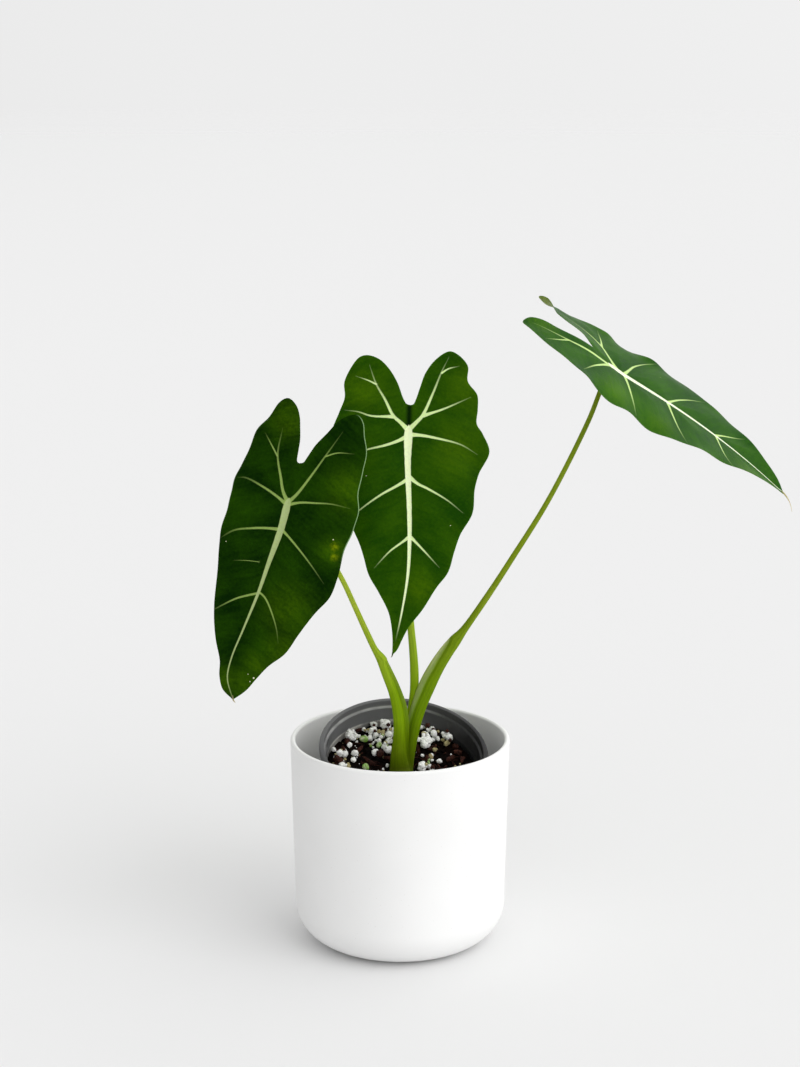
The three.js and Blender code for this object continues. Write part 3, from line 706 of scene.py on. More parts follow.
def blade_object(side):
    """A blade with its hair tip, and on its vertices what its material needs to know."""
    leaf = LEAVES[side]
    blade = Blade(leaf)
    flat, faces = triangulate(*blade_points(blade))
    x, y = flat.T
    relief = blade_relief(blade, x, y)
    count = len(flat)
    strips = [(a, b, b + count, a + count) for a, b in rim_edges(faces).tolist()]
    every_face = faces[:, ::-1].tolist() + (faces + count).tolist() + strips

    # the dry thread that the tip runs out into
    line = evenly(catmull_rom(leaf["hair"]), HAIR_STEP)
    base = blade_relief(blade, *line[:1, :2].T)
    along = np.linspace(0, 1, len(line))
    heights = (base["upper"] + base["lower"]) / 2 - leaf["hair_drop"] * along ** 2
    thread, thread_faces = tube(round_rings(
        blade.place(line[:, 0], line[:, 1], heights), line[:, 2], line[:, 2] * 0.6, HAIR_SIDES))
    every_face += [[i + 2 * count for i in face] for face in thread_faces]

    points = np.vstack([blade.place(x, y, relief["upper"]), blade.place(x, y, relief["lower"]), thread])
    piece = make_object(f"{side}_leaf_blade", points, every_face)

    def with_thread(values, on_thread):
        return np.concatenate([values, values, np.broadcast_to(on_thread, len(thread))])

    for name in ("vein", "midrib", "near_vein", "margin", "crease", "edge_glow"):
        set_values(piece, name, with_thread(relief[name], 5.0 if name == "margin" else 0.0))
    for name in ("yellow", "specks", "pale"):
        set_values(piece, name, with_thread(spots(x, y, leaf[name]), 0.0))
    dryness = 0.5 + 0.5 * np.append(along.repeat(HAIR_SIDES), (0, 1))
    set_values(piece, "dry", with_thread(np.zeros(count), leaf["dry"] * dryness))
    set_values(piece, "upper_side", np.concatenate([np.repeat([1.0, 0.0], count), np.ones(len(thread))]))
    set_map(piece, np.column_stack([with_thread(x, 0.0), with_thread(y, 130.0)]) * MAP_SCALE)
    return piece


def leaf_green(finish, light):
    """The blade's green: large clouds, and streaks that run outwards beside the side veins."""
    where = finish.place("UV")
    across, ahead = (finish.node("SeparateXYZ", where, output=axis) for axis in "XY")
    away = finish.math("ABSOLUTE", across, 0.0)
    slant = finish.math("SUBTRACT", ahead, finish.times(away, 0.45))
    slanted = finish.node("CombineXYZ", finish.times(away, 7.0), finish.times(slant, 27.0))
    streak = finish.noise(1.0, 3.0, slanted, distortion=0.6)
    cloud = finish.noise(3.2, 2.0, where)
    grain = finish.noise(55.0, 4.0, where)
    pale = finish.value("pale")
    lightness = finish.plus(
        finish.ramp(cloud, 0.35, 0.7, -0.05, 0.35), finish.ramp(streak, 0.3, 0.8, -0.08, 0.16),
        # darker next to the veins and lighter between them: painted shade and light of the swell between
        # the veins
        finish.ramp(finish.value("near_vein"), 1.0, 9.0, 0.0, 0.14),
        finish.ramp(grain, 0.3, 0.7, -0.08, 0.08), finish.times(pale, 0.3))
    finish.coat(light, lightness)
    finish.coat(YELLOWED, finish.times(pale, finish.ramp(streak, 0.3, 0.75, 0.15, 0.45),
                                       finish.ramp(grain, 0.3, 0.6, 0.5, 1.0)))
    return streak, grain


# Linear colours of each leaf: shaded green, lit green, midrib, side veins, margin line; and gloss.
LEAF_COLOURS = {
    "left": ((0.0020, 0.0150, 0.0002), (0.022, 0.082, 0.0004), (0.38, 0.47, 0.20),
             (0.25, 0.36, 0.09), (0.24, 0.38, 0.18), 0.015),
    "centre": ((0.0080, 0.046, 0.0003), (0.046, 0.125, 0.0006), (0.80, 0.90, 0.55),
               (0.66, 0.82, 0.38), (0.06, 0.20, 0.01), 0.015),
    "right": ((0.011, 0.066, 0.002), (0.054, 0.180, 0.002), (0.88, 0.94, 0.72),
              (0.56, 0.76, 0.28), (0.10, 0.22, 0.07), 0.048),
}
CREASE_SHADE = (0.001, 0.010, 0.0002)
YELLOW_SPOT = (0.19, 0.25, 0.002)
SPECK = (0.72, 0.72, 0.50)
UNDERSIDE_STREAK = (0.115, 0.185, 0.012)
UNDERSIDE_GRAIN = (0.22, 0.29, 0.03)
YELLOWED = (0.075, 0.15, 0.0006)
UNDERSIDE = (0.17, 0.24, 0.012)
UNDERSIDE_VEIN = (0.28, 0.38, 0.10)
DRY_STRAW = (0.62, 0.52, 0.28)


def leaf_finish(side):
    """Dark green with pale veins above, paler green below, and straw at the dry tip."""
    dark, light, midrib, side_vein, margin_line, gloss = LEAF_COLOURS[side]
    finish = Finish(f"{side}_leaf", dark)
    streak, grain = leaf_green(finish, light)
    finish.coat(CREASE_SHADE, finish.value("crease"), 0.1, 0.9, 0.95)
    spotty = finish.times(finish.value("yellow"), finish.ramp(grain, 0.4, 0.6, 0.35, 1.0))
    finish.coat(YELLOW_SPOT, spotty, 0.05, 0.9, 0.85)
    vein = finish.value("vein")
    vein_colour = finish.mix(finish.value("midrib"), side_vein, midrib)
    finish.coat(finish.mix(finish.ramp(grain, 0.5, 0.75, 0.0, 0.15), vein_colour, light), vein)
    edge = finish.ramp(finish.value("margin"), 0.6, 0.3)
    finish.coat(margin_line, finish.times(edge, finish.value("edge_glow")))
    finish.coat(SPECK, finish.value("specks"), 0.4, 0.7)
    upper = finish.colour

    finish.colour = UNDERSIDE
    finish.coat(UNDERSIDE_STREAK, streak, 0.3, 0.7)
    finish.coat(UNDERSIDE_GRAIN, grain, 0.45, 0.7, 0.35)
    finish.coat(UNDERSIDE_VEIN, vein)
    finish.coat(upper, finish.value("upper_side"))
    finish.coat(DRY_STRAW, finish.value("dry"), 0.15, 0.8)
    pores = finish.node("TexVoronoi", Vector=finish.place("UV"), Scale=90.0,
                        settings={"feature": "DISTANCE_TO_EDGE"})
    return finish.done(
        (pores, 0.06), (streak, 0.14), (grain, 0.05), Specular_IOR_Level=gloss,
        Roughness=finish.plus(finish.ramp(grain, 0.3, 0.7, 0.34, 0.46), finish.times(vein, 0.08)),
        Subsurface_Weight=0.1, Subsurface_Radius=(0.6, 1.0, 0.1), Subsurface_Scale=0.001)


# ---------------------------------------------------------------- petioles

# Each petiole, from inside the corm up to the blade: (x, y, z, half width, half depth).
PETIOLES = {
    "left": [(1.5, -14, 103, 8.3, 4), (1.3, -14.1, 109, 8.1, 3.9), (0.2, -14.3, 118, 6.8, 3.4),
        (0.1, -14.5, 128, 5.7, 3.2), (0.9, -14.5, 138, 5.3, 3.1), (1.2, -14.5, 148, 5.4, 3),
        (-0.1, -14.5, 159, 5.3, 3), (-2.9, -15, 169, 4.7, 2.8), (-7.3, -15.6, 180, 4.2, 2.6),
        (-11.6, -16.3, 189.6, 3.2, 2.3), (-15.4, -16.9, 195.6, 2.1, 2.1), (-19.3, -17.5, 204, 1.9, 1.9),
        (-27, -19, 222, 1.7, 1.7), (-36.2, -20.5, 243, 1.6, 1.6), (-50.3, -22, 267.5, 1.5, 1.5),
        (-62, -23, 284, 1.5, 1.5), (-68.6, -28, 291.5, 1.9, 1.9)],
    "centre": [(2.6, -4.6, 104, 3.8, 2.4), (3, -4.4, 117, 3.8, 2.4), (5.3, -4, 138, 3.5, 2.4),
        (8, -3.6, 158, 3, 2.4), (9, -3.2, 170, 2.9, 2.3), (9, -2.8, 180, 2.7, 2.2),
        (8.2, -2, 192, 2.5, 2.2), (7.1, -1, 204, 2.3, 2), (5.2, 2, 230, 2, 1.9), (3.9, 5, 262, 1.8, 1.8),
        (3.4, 7.5, 293, 1.7, 1.7), (4, 7.5, 318, 1.7, 1.7), (5.3, 2, 332.1, 2, 2)],
    "right": [(3.6, -9.6, 103, 4.6, 2.6), (4, -9.4, 117, 4.6, 2.6), (5.4, -9.2, 128, 4.6, 2.6),
        (7.2, -9, 138, 4.6, 2.6), (11, -8.6, 154, 5, 2.6), (16.9, -8.2, 170, 5.6, 2.6),
        (23.4, -7.8, 183, 5.1, 2.5), (29.9, -7.4, 193, 4.5, 2.5), (34.9, -7, 199.4, 3.8, 2.4),
        (39.9, -6.6, 205.6, 2.5, 2.3), (55, -6, 228, 2, 2), (69.5, -5, 251, 1.8, 1.8),
        (92.3, -3, 288.7, 1.6, 1.6), (116.5, -1, 338.5, 1.5, 1.5), (125.2, 0.5, 361, 1.5, 1.5),
        (131, 2, 370.9, 1.9, 1.9)],
}
# The thin flap down one side of each petiole's sheath: the side that it starts from and how far
# it curls, in degrees (0 is right, 90 is back), and how wide it is at some heights.
SHEATHS = {
    "left": dict(side=-8, curl=-35, width=[
        (100, 0.3), (120, 0.8), (138, 2.6), (150, 3.6), (160, 3.8), (168, 3.4), (178, 2.9), (183, 2.4),
        (186.4, 1.8), (188, 0.9), (188.8, 0)]),
    "centre": dict(side=110, curl=40, width=[
        (100, 0.6), (140, 1.6), (165, 1.4), (178, 0)]),
    "right": dict(side=180, curl=-35, width=[
        (100, 1), (130, 2), (150, 3.2), (165, 4.6), (180, 4.8), (188, 4), (193.5, 3), (196.5, 2),
        (198, 0.9), (199, 0)]),
}
PETIOLE_STEP = 0.9
FLAP_SPREAD = 8               # degrees of the petiole's round that the flap grows from
JOINT_REACH = 9               # round the petiole's top, where it meets the blade
JOINT_DEPTH = 0.35            # how far its top sinks into the blade


def petiole_rings(side):
    """Rings of points up a petiole, each point's share of the way out along the flap, and heights."""
    sheath = SHEATHS[side]
    rows = evenly(catmull_rom(PETIOLES[side]), PETIOLE_STEP, measured=3)
    line, half_width, half_depth = rows[:, :3], rows[:, 3], rows[:, 4]
    flap = np.interp(line[:, 2], *zip(*sheath["width"]))
    root = math.radians(sheath["side"])
    # the points round a ring lie closer together on the flap
    from_root = np.concatenate([np.linspace(-24, 24, 17), np.linspace(30, 330, 31)])
    share = np.where(np.abs(from_root) < 26, np.exp(-(from_root / FLAP_SPREAD) ** 2), 0)
    angle = np.radians(from_root) + root
    bearing = root + math.radians(sheath["curl"]) * share
    reach = flap[:, None] * share
    # the flap's width is taken out of the stalk, so the two together keep the petiole's width
    stalk = half_width - flap * abs(math.cos(root)) / 2
    shift = -flap / 2 * math.cos(root)
    rings = rings_about(
        line, stalk[:, None] * np.cos(angle) + shift[:, None] + reach * np.cos(bearing),
        half_depth[:, None] * np.sin(angle) + reach * np.sin(bearing))
    wing = (share * np.minimum(flap, 1.0)[:, None]).ravel()
    return rings, wing, np.repeat(line[:, 2], len(angle)), angle


def petiole_object(side):
    """A petiole with its sheath, from inside the corm up to its blade."""
    rings, wing, heights, angle = petiole_rings(side)
    points, faces = tube(rings)
    # the top ends in the underside of the blade
    blade = Blade(LEAVES[side])
    local = points - blade.origin
    x, y, z = local @ blade.right, local @ blade.ahead, local @ blade.up
    near = np.hypot(x, y) < JOINT_REACH
    z[near] = np.minimum(z[near], blade_relief(blade, x[near], y[near])["lower"] + JOINT_DEPTH)
    points = blade.in_world(x, y, z)
    piece = make_object(f"{side}_leafstalk", points, faces)
    set_values(piece, "wing", np.append(wing, (0, 0)))
    set_values(piece, "rise", np.append(heights, (heights[0], heights[-1])))
    turn = np.tile(angle / (2 * np.pi), len(rings))
    around = np.column_stack([np.append(turn, (0, 0)), np.append(heights, (0, 0)) * MAP_SCALE])
    set_map(piece, around)
    return piece


# Linear colours of each petiole: high up, in the middle, and its flap; and how much the flap shows.
PETIOLE_COLOURS = {
    "left": ((0.440, 0.560, 0.045), (0.230, 0.380, 0.002), (0.42, 0.52, 0.16), 0.35),
    "centre": ((0.340, 0.480, 0.035), (0.230, 0.360, 0.004), (0.42, 0.50, 0.18), 0.5),
    # the right petiole's colours high up and in the middle are darker, as painted shade
    "right": ((0.185, 0.262, 0.008), (0.165, 0.285, 0.001), (0.52, 0.56, 0.30), 0.85),
}
PETIOLE_FOOT = (0.105, 0.140, 0.012)
PETIOLE_BASE = (0.075, 0.115, 0.001)
DARK_STRIPE = (0.02, 0.06, 0.0)
PALE_BLOTCH = (0.38, 0.48, 0.04)


def petiole_finish(side):
    """Yellow-green stalk with fine stripes along it, olive at the base and paler at the flap."""
    high, mid, flap_colour, flap_amount = PETIOLE_COLOURS[side]
    finish = Finish(f"{side}_leafstalk", PETIOLE_FOOT)
    rise = finish.value("rise")
    stripe = finish.noise(1.0, 5.0, finish.place("UV", (26.0, 2.2, 1.0)))
    blotch = finish.noise(60.0, 3.0)
    finish.coat(PETIOLE_BASE, rise, 113, 120)
    finish.coat(mid, rise, 118, 150)
    finish.coat(high, rise, 168, 225)
    finish.coat(DARK_STRIPE, stripe, 0.45, 0.62, 0.25)
    finish.coat(PALE_BLOTCH, blotch, 0.5, 0.75, 0.2)
    finish.coat(flap_colour, finish.times(
        finish.ramp(finish.value("wing"), 0.05, 0.6), finish.ramp(rise, 140, 166, 0.0, flap_amount),
        finish.ramp(stripe, 0.4, 0.62, 1.0, 0.35)))
    return finish.done(
        (stripe, 0.10), (blotch, 0.05), rough=(stripe, 0.36, 0.5), Specular_IOR_Level=0.07,
        Subsurface_Weight=0.2, Subsurface_Radius=(0.8, 1.0, 0.1), Subsurface_Scale=0.002)


# ---------------------------------------------------------------- pots

COVER_POT = dict(height=133.5, rim_radius=70, shoulder_radius=67.7, base_curve=24.5, wall=3.2, floor=5)
NURSERY_POT = dict(
    height=118, base_radius=42, neck_radius=50.5, neck_height=111.6, collar_radius=51.9,
    lip_radius=53.7, lip_height=3.4, wall=1.3, floor=1.6, lean_forward=19, lean_right=5,
    foot_x=-7.3, foot_y=23.3, hole_radius=4, holes=8, hole_ring=29)
LIT_WAY = (-0.6, 0.8)       # the inside of the nursery pot has painted light on this side and painted shade on the other
LEDGE = NURSERY_POT["neck_height"] + 1.2    # the step inside, under the collar
GAP = 0.3                     # between pieces that touch
SOIL_TOP = 101
WATER_LINE = SOIL_TOP + 3     # a faint step where the soil once stood
HOLE_HEIGHTS = (-3.0, 0.8, 5.0)


def quarter(centre_radius, centre_height, radius, start, end, steps):
    """Points on an arc of an outline, angles in degrees."""
    angles = np.radians(np.linspace(start, end, steps + 1))
    return [(centre_radius + radius * math.cos(a), centre_height + radius * math.sin(a)) for a in angles]


def cover_pot():
    """The plain outer pot, with a round lip and a curve up from its flat base."""
    pot = COVER_POT
    lip = pot["wall"] / 2
    middle = pot["shoulder_radius"] - pot["base_curve"]
    inner_curve = pot["base_curve"] - pot["wall"]
    outline = [(0, 0), *quarter(middle, pot["base_curve"], pot["base_curve"], -90, 0, 24)]
    outline += quarter(pot["rim_radius"] - lip, pot["height"] - lip, lip, 0, 180, 14)
    outline += quarter(middle, pot["floor"] + inner_curve, inner_curve, 0, -90, 18)
    outline += [(0, pot["floor"])]
    return make_object("outer_pot", *turned(outline, 288))


def ceramic_finish():
    """Matt white glaze over stoneware, bare on the foot."""
    finish = Finish("matt_white_glaze", (0.86, 0.86, 0.855))
    cloud, fine, speck = finish.noise(9.0, 3.0), finish.noise(700.0, 3.0), finish.cells(260.0)
    height = finish.node("SeparateXYZ", finish.place(), output="Z")
    finish.coat((0.90, 0.90, 0.895), cloud, 0.35, 0.65)
    finish.coat((0.55, 0.52, 0.47), speck, 0.09, 0.05, 0.25)
    finish.coat((0.66, 0.60, 0.51), height, 0.0006, 0.0002)
    return finish.done((fine, 0.02), (cloud, 0.3), rough=(fine, 0.5, 0.62), Specular_IOR_Level=0.4)


def lean():
    """Turns and moves the nursery pot's own frame into the world, in millimetres."""
    pot = NURSERY_POT
    axis = Vector((math.tan(math.radians(pot["lean_right"])),
                   -math.tan(math.radians(pot["lean_forward"])), 1)).normalized()
    rise = COVER_POT["floor"] + GAP + pot["base_radius"] * math.hypot(axis.x, axis.y)
    turn = Vector((0, 0, 1)).rotation_difference(axis)
    return Matrix.Translation((pot["foot_x"], pot["foot_y"], rise)) @ turn.to_matrix().to_4x4()


LEAN = np.array(lean())


def leaned(points):
    """Points in the nursery pot's own frame, moved into the world's."""
    return np.asarray(points, float) @ LEAN[:3, :3].T + LEAN[:3, 3]


def nursery_inside(height):
    """The nursery pot's inside radius at a height over its foot."""
    pot = NURSERY_POT
    spread = pot["neck_radius"] - pot["base_radius"]
    return pot["base_radius"] + spread * height / pot["neck_height"] - pot["wall"]


def cut_out(piece, cutters):
    """Cuts other objects out of a piece and deletes them."""
    for cutter in cutters:
        modifier = piece.modifiers.new("cut", "BOOLEAN")
        modifier.operation = "DIFFERENCE"
        modifier.solver = "EXACT"
        modifier.object = cutter
    bpy.context.view_layer.update()
    evaluated = piece.evaluated_get(bpy.context.evaluated_depsgraph_get())
    result = bpy.data.meshes.new_from_object(evaluated)
    piece.modifiers.clear()
    piece.data = result
    for cutter in cutters:
        bpy.data.objects.remove(cutter)


def nursery_pot():
    """The nursery pot with its collar, lip and drainage holes."""
    pot = NURSERY_POT
    top, lip, wall = pot["height"], pot["lip_height"], pot["wall"]
    neck, collar = pot["neck_height"], pot["collar_radius"]
    outline = rounded([
        (0, 0, 0), (pot["base_radius"], 0, 1.6), (pot["neck_radius"], neck, 0.4),
        (collar, LEDGE, 0.5), (collar, top - lip, 0.3), (pot["lip_radius"], top - lip, 0.7),
        (pot["lip_radius"], top, 1.3), (collar - wall, top, 0.7), (collar - wall, LEDGE + 1, 0.4),
        (nursery_inside(neck), LEDGE, 0.5), (nursery_inside(WATER_LINE), WATER_LINE, 0),
        (nursery_inside(WATER_LINE) - 0.35, WATER_LINE - 0.6, 0.2),
        (nursery_inside(SOIL_TOP + 1), SOIL_TOP + 1, 0),
        (nursery_inside(pot["floor"]), pot["floor"], 1.5), (0, pot["floor"], 0)])
    points, faces = turned(outline, 224)
    piece = make_object("inner_pot", leaned(points), faces)
    cutters = []
    for i in range(pot["holes"]):
        angle = 2 * math.pi * i / pot["holes"]
        middle = pot["hole_ring"] * np.array([math.cos(angle), math.sin(angle), 0])
        points, faces = tube([level_ring(pot["hole_radius"], z, 40) + middle for z in HOLE_HEIGHTS])
        cutters.append(make_object(f"hole_{i}", leaned(points), faces))
    cut_out(piece, cutters)
    piece.data.shade_smooth()
    local = (vertex_places(piece) - LEAN[:3, 3]) @ LEAN[:3, :3]
    set_values(piece, "rise", local[:, 2])
    radius = np.hypot(local[:, 0], local[:, 1])
    inner = (radius < nursery_inside(local[:, 2]) + 0.3) | (local[:, 2] > neck)
    set_values(piece, "inner_side", inner)
    # which way each point lies, for the painted light and shade inside the pot
    set_values(piece, "lit_side", (local[:, :2] @ LIT_WAY) / np.maximum(radius, 1))
    return piece


def vertex_places(piece):
    """A piece's vertices in millimetres."""
    places = np.zeros(len(piece.data.vertices) * 3)
    piece.data.vertices.foreach_get("co", places)
    return places.reshape(-1, 3) / MM


def plastic_finish():
    """Thin dark grey moulded plastic with dust and scuffs; inside, painted light on one side and painted
    shade on the other, a painted highlight along the ledge, and a dried water line over the soil painted
    bright on the lit side.
    """
    finish = Finish("dark_grey_plastic", (0.050, 0.051, 0.053))
    fine, dust = finish.noise(1300.0, 3.0), finish.noise(70.0, 5.0)
    scuff = finish.noise(1.0, 3.0, finish.place("Object", (400, 400, 60)))
    rise, side, inner = (finish.value(name) for name in ("rise", "lit_side", "inner_side"))
    finish.coat((0.090, 0.091, 0.094), dust, 0.4, 0.7)
    # inside: painted shade on the wall that faces away from the light, painted light on the wall that faces
    # it
    inside = finish.mix(finish.ramp(side, -0.1, 0.9), (0.009, 0.009, 0.010), (0.145, 0.146, 0.150))
    finish.coat(inside, inner, most=0.85)
    finish.coat((0.15, 0.15, 0.15), scuff, 0.62, 0.78, 0.3)
    # a painted highlight along the ledge on the lit side, mottled by the dust pattern
    ledge_highlight = finish.times(
        inner, finish.ramp(side, 0.35, 0.95), finish.ramp(rise, LEDGE - 0.2, LEDGE + 0.5),
        finish.ramp(rise, LEDGE + 1.8, LEDGE + 0.9), finish.ramp(dust, 0.35, 0.6, 0.3, 0.9))
    finish.coat((0.42, 0.42, 0.41), ledge_highlight)
    # a pale dried water line, painted bright on the lit side only, as a highlight
    water_line_and_highlight = finish.times(
        inner, finish.ramp(side, 0.55, 0.95), finish.ramp(rise, WATER_LINE + 0.6, WATER_LINE - 0.4),
        finish.ramp(dust, 0.40, 0.56, 0.2, 1.0))
    finish.coat((0.62, 0.60, 0.56), water_line_and_highlight, most=0.9)
    return finish.done((fine, 0.02), (dust, 0.05), rough=(dust, 0.32, 0.48), Specular_IOR_Level=0.3)


# ---------------------------------------------------------------- corm, roots and soil

CORM = dict(crown_radius=11.5, belly_radius=14, length=34, crown_depth=7)
ROOTS = dict(count=6, start_radius=2.1, end_radius=0.9, inside=6, reach=24, drop=30)
SCAR_SPACING = 3.1            # old leaf bases leave rings of scars on the corm
SCAR_DEPTH = 0.5
SOIL_SECTORS, SOIL_RINGS = 384, 62
SOIL_SAG = 1.2                # how much lower the soil lies along the pot's wall
SAG_WIDTH = 10
LUMP_HEIGHT = 2.1
LUMPS_PER_MM = 0.16


def root_line(number, steps):
    """The middle line of one root, and how far along it each point is."""
    top = SOIL_TOP - CORM["crown_depth"]
    angle = 2 * math.pi * (number + 0.3) / ROOTS["count"]
    bend = 1 if number % 2 == 0 else 0.75
    t = np.linspace(0, 1, steps)
    reach = ROOTS["inside"] + ROOTS["reach"] * bend * np.sin(t * np.pi / 2)
    return np.column_stack([reach * np.cos(angle + 0.5 * t), reach * np.sin(angle + 0.5 * t),
                            top - CORM["length"] * 0.6 - ROOTS["drop"] * t * t]), t


def corm_parts(grow, segments, rings):
    """The corm and its roots as a list of (points, faces), grown by a clearance."""
    top = SOIL_TOP - CORM["crown_depth"]
    length, belly, crown = CORM["length"], CORM["belly_radius"], CORM["crown_radius"]
    profile = np.array([(belly * 0.55, top - length), (belly * 0.85, top - length + 5),
                        (belly, top - length * 0.6), (belly * 0.95, top - length * 0.35),
                        (crown, top - 3), (crown, top)])
    t = np.linspace(0, 1, rings)
    knots = np.linspace(0, 1, len(profile))
    radius = np.interp(t, knots, profile[:, 0]) + grow
    height = np.interp(t, knots, profile[:, 1])
    height[0] -= grow
    height[-1] += grow
    if not grow:
        radius -= SCAR_DEPTH * (0.5 + 0.5 * np.cos(2 * np.pi * height / SCAR_SPACING)) ** 6
    parts = [turned([(0, height[0]), *zip(radius, height), (0, height[-1])], segments)]
    for number in range(ROOTS["count"]):
        line, t = root_line(number, 24 if grow else 80)
        thick = ROOTS["start_radius"] + (ROOTS["end_radius"] - ROOTS["start_radius"]) * t + grow
        if not grow:
            wobble = np.array([noise.noise_vector((number * 7.0, 3.0 * s, 0.0)) for s in t])
            line = line + 0.3 * wobble
            thick = thick * (1 - 0.12 * (0.5 + 0.5 * np.sin(2 * np.pi * t * 26)) ** 3)
        parts.append(tube(round_rings(line, thick, thick, 10 if grow else 20)))
    return parts


def joined(name, parts, place=leaned):
    """One object from several closed skins, each (points, faces)."""
    points, faces, count = [], [], 0
    for part_points, part_faces in parts:
        points.append(part_points)
        faces += [[i + count for i in face] for face in part_faces]
        count += len(part_points)
    return make_object(name, place(np.vstack(points)), faces)


def soil_height(x, y):
    """The lumpy surface of the soil over a place in the nursery pot's frame."""
    edge = nursery_inside(SOIL_TOP)
    sag = SOIL_SAG * smooth_step(edge - SAG_WIDTH, edge, np.hypot(x, y))
    relief = [LUMP_HEIGHT * noise.fractal(Vector((px, py, 0.0)) * LUMPS_PER_MM, 0.8, 2.2, 5)
              for px, py in zip(x.tolist(), y.tolist())]
    return SOIL_TOP - 0.5 - sag + np.array(relief)


def soil_body():
    """The soil as one solid with a lumpy top, and room in it for the corm and the petioles."""
    edge = nursery_inside(SOIL_TOP) - GAP / 2
    low = NURSERY_POT["floor"] + GAP
    rings = [level_ring(nursery_inside(low) - 3, low, SOIL_SECTORS)]
    rings += [level_ring(nursery_inside(z) - GAP, z, SOIL_SECTORS) for z in (low + 2, 50, 90)]
    for radius in np.linspace(edge, edge / SOIL_RINGS, SOIL_RINGS):
        ring = level_ring(radius, 0, SOIL_SECTORS)
        ring[:, 2] = soil_height(*ring[:, :2].T)
        rings.append(ring)
    piece = joined("potting_mix", [tube(rings)])
    cutters = [joined("corm_space", corm_parts(GAP, 32, 14))]
    for side in PETIOLES:
        rows = evenly(catmull_rom(PETIOLES[side]), 3.0, measured=3)[:8]
        grown = round_rings(rows[:, :3], rows[:, 3] + GAP, rows[:, 4] + GAP, 24)
        cutters.append(joined("stalk_space", [tube(grown)], place=np.asarray))
    cut_out(piece, cutters)
    piece.data.shade_smooth()
    return piece


def soil_finish():
    """Damp dark potting mix: peat with brown fibre and a wet glint here and there."""
    finish = Finish("potting_mix", (0.0012, 0.0009, 0.0008))
    lumps, patches = finish.noise(330.0, 6.0, roughness=0.7), finish.noise(70.0, 3.0)
    grit = finish.cells(900.0)
    finish.coat((0.0060, 0.0036, 0.0028), lumps, 0.38, 0.68)
    finish.coat((0.010, 0.0045, 0.0035), patches, 0.5, 0.7, 0.6)
    finish.coat((0.05, 0.035, 0.025), grit, 0.08, 0.03, 0.25)
    return finish.done((lumps, 0.6), (grit, 0.25), Specular_IOR_Level=0.04,
                       Roughness=finish.ramp(patches, 0.3, 0.65, 0.55, 0.95))


def corm_finish():
    """Fibrous brown skin, paler where it has rubbed off."""
    finish = Finish("corm", (0.10, 0.055, 0.025))
    fibre = finish.noise(1.0, 5.0, finish.place("Object", (260, 260, 900)))
    finish.coat((0.30, 0.21, 0.11), fibre, 0.35, 0.7)
    finish.coat((0.45, 0.38, 0.24), finish.noise(90.0, 3.0), 0.55, 0.75, 0.5)
    return finish.done((fibre, 0.3), rough=(fibre, 0.6, 0.9))


# ---------------------------------------------------------------- loose pieces on the soil

def ball(subdivisions):
    """Unit directions and triangles of an even ball."""
    made = bmesh.new()
    bmesh.ops.create_icosphere(made, subdivisions=subdivisions, radius=1)
    points = np.array([v.co[:] for v in made.verts])
    faces = [[v.index for v in face.verts] for face in made.faces]
    made.free()
    return points, faces


SMALL, LARGE = 3, 5           # fineness of the granules' meshes
BALLS = {detail: ball(detail) for detail in (SMALL, LARGE)}
FULLER = 1.08                 # lumpy pieces are this much larger than the CAD body inside them
STEM_CLEARANCE = 1.5          # loose crumbs keep this far from the petioles
CRUMB_CLEARANCE = 0.3
FIBRE_CLEARANCE = 0.5
HEAP_HEIGHT = 6.5             # no granule in a heap lies higher over the soil's edge
NESTLE = 0.85                 # distance of two touching granules, as a share of their radii
IN_FRONT = dict(side=3.5, near=-1, far=10)      # the space kept free in front of green granules
# Where the perlite lies in heaps: (across, up the slope, spread, count), in the nursery pot's frame.
PERLITE_HEAPS = [
    (-12, 38, 5, 26), (-8, 30, 4, 16), (-15, 22, 5, 18), (-33, 27, 3, 10), (-21, 34, 4, 9), (-10, 14, 3, 9),
    (-41, 7, 3, 9), (-37, -5, 2.5, 6), (15, 27, 3.5, 10), (20, 37, 4, 14), (27, 33, 3, 6), (14, 1, 3, 5),
]
GREEN_HEAPS = [(-12, 26, 5, 7), (-20, 30, 4, 3), (14, 4, 4, 3), (-6, 8, 4, 3)]
taken = []                    # (x, y, z, radius) of pieces on the soil, in the nursery pot's frame
green_places = []             # (x, y) of the larger green granules, which nothing is heaped in front of


def popped(detail, lobes, depth, roughness):
    """A lumpy granule about 1 in radius: bulges round a few directions, with creases between."""
    points, faces = BALLS[detail]
    ways = draw.normal(size=(lobes, 3))
    ways /= np.linalg.norm(ways, axis=1)[:, None]
    nearest = np.arccos(np.clip(points @ ways.T, -1, 1)).min(axis=1)
    shift = draw.uniform(0, 50, 3)
    fine = np.array([noise.fractal(Vector(p * 3.2 + shift), 0.9, 2.1, 4) for p in points])
    radius = 1 - depth * np.minimum(nearest, 1.3) ** 1.5 + roughness * fine
    return points * radius[:, None], faces


def boxed(detail, squareness, roughness):
    """A worn block, 1 in half size, with a rough broken surface."""
    points, faces = BALLS[detail]
    block = np.sign(points) * np.abs(points) ** squareness
    shift = draw.uniform(0, 50, 3)
    rough = np.array([noise.fractal(Vector((p[0] * 1.2, p[1] * 5, p[2] * 5)) + Vector(shift), 0.8, 2.0, 4)
                      for p in points])
    return block * (1 + roughness * rough)[:, None], faces


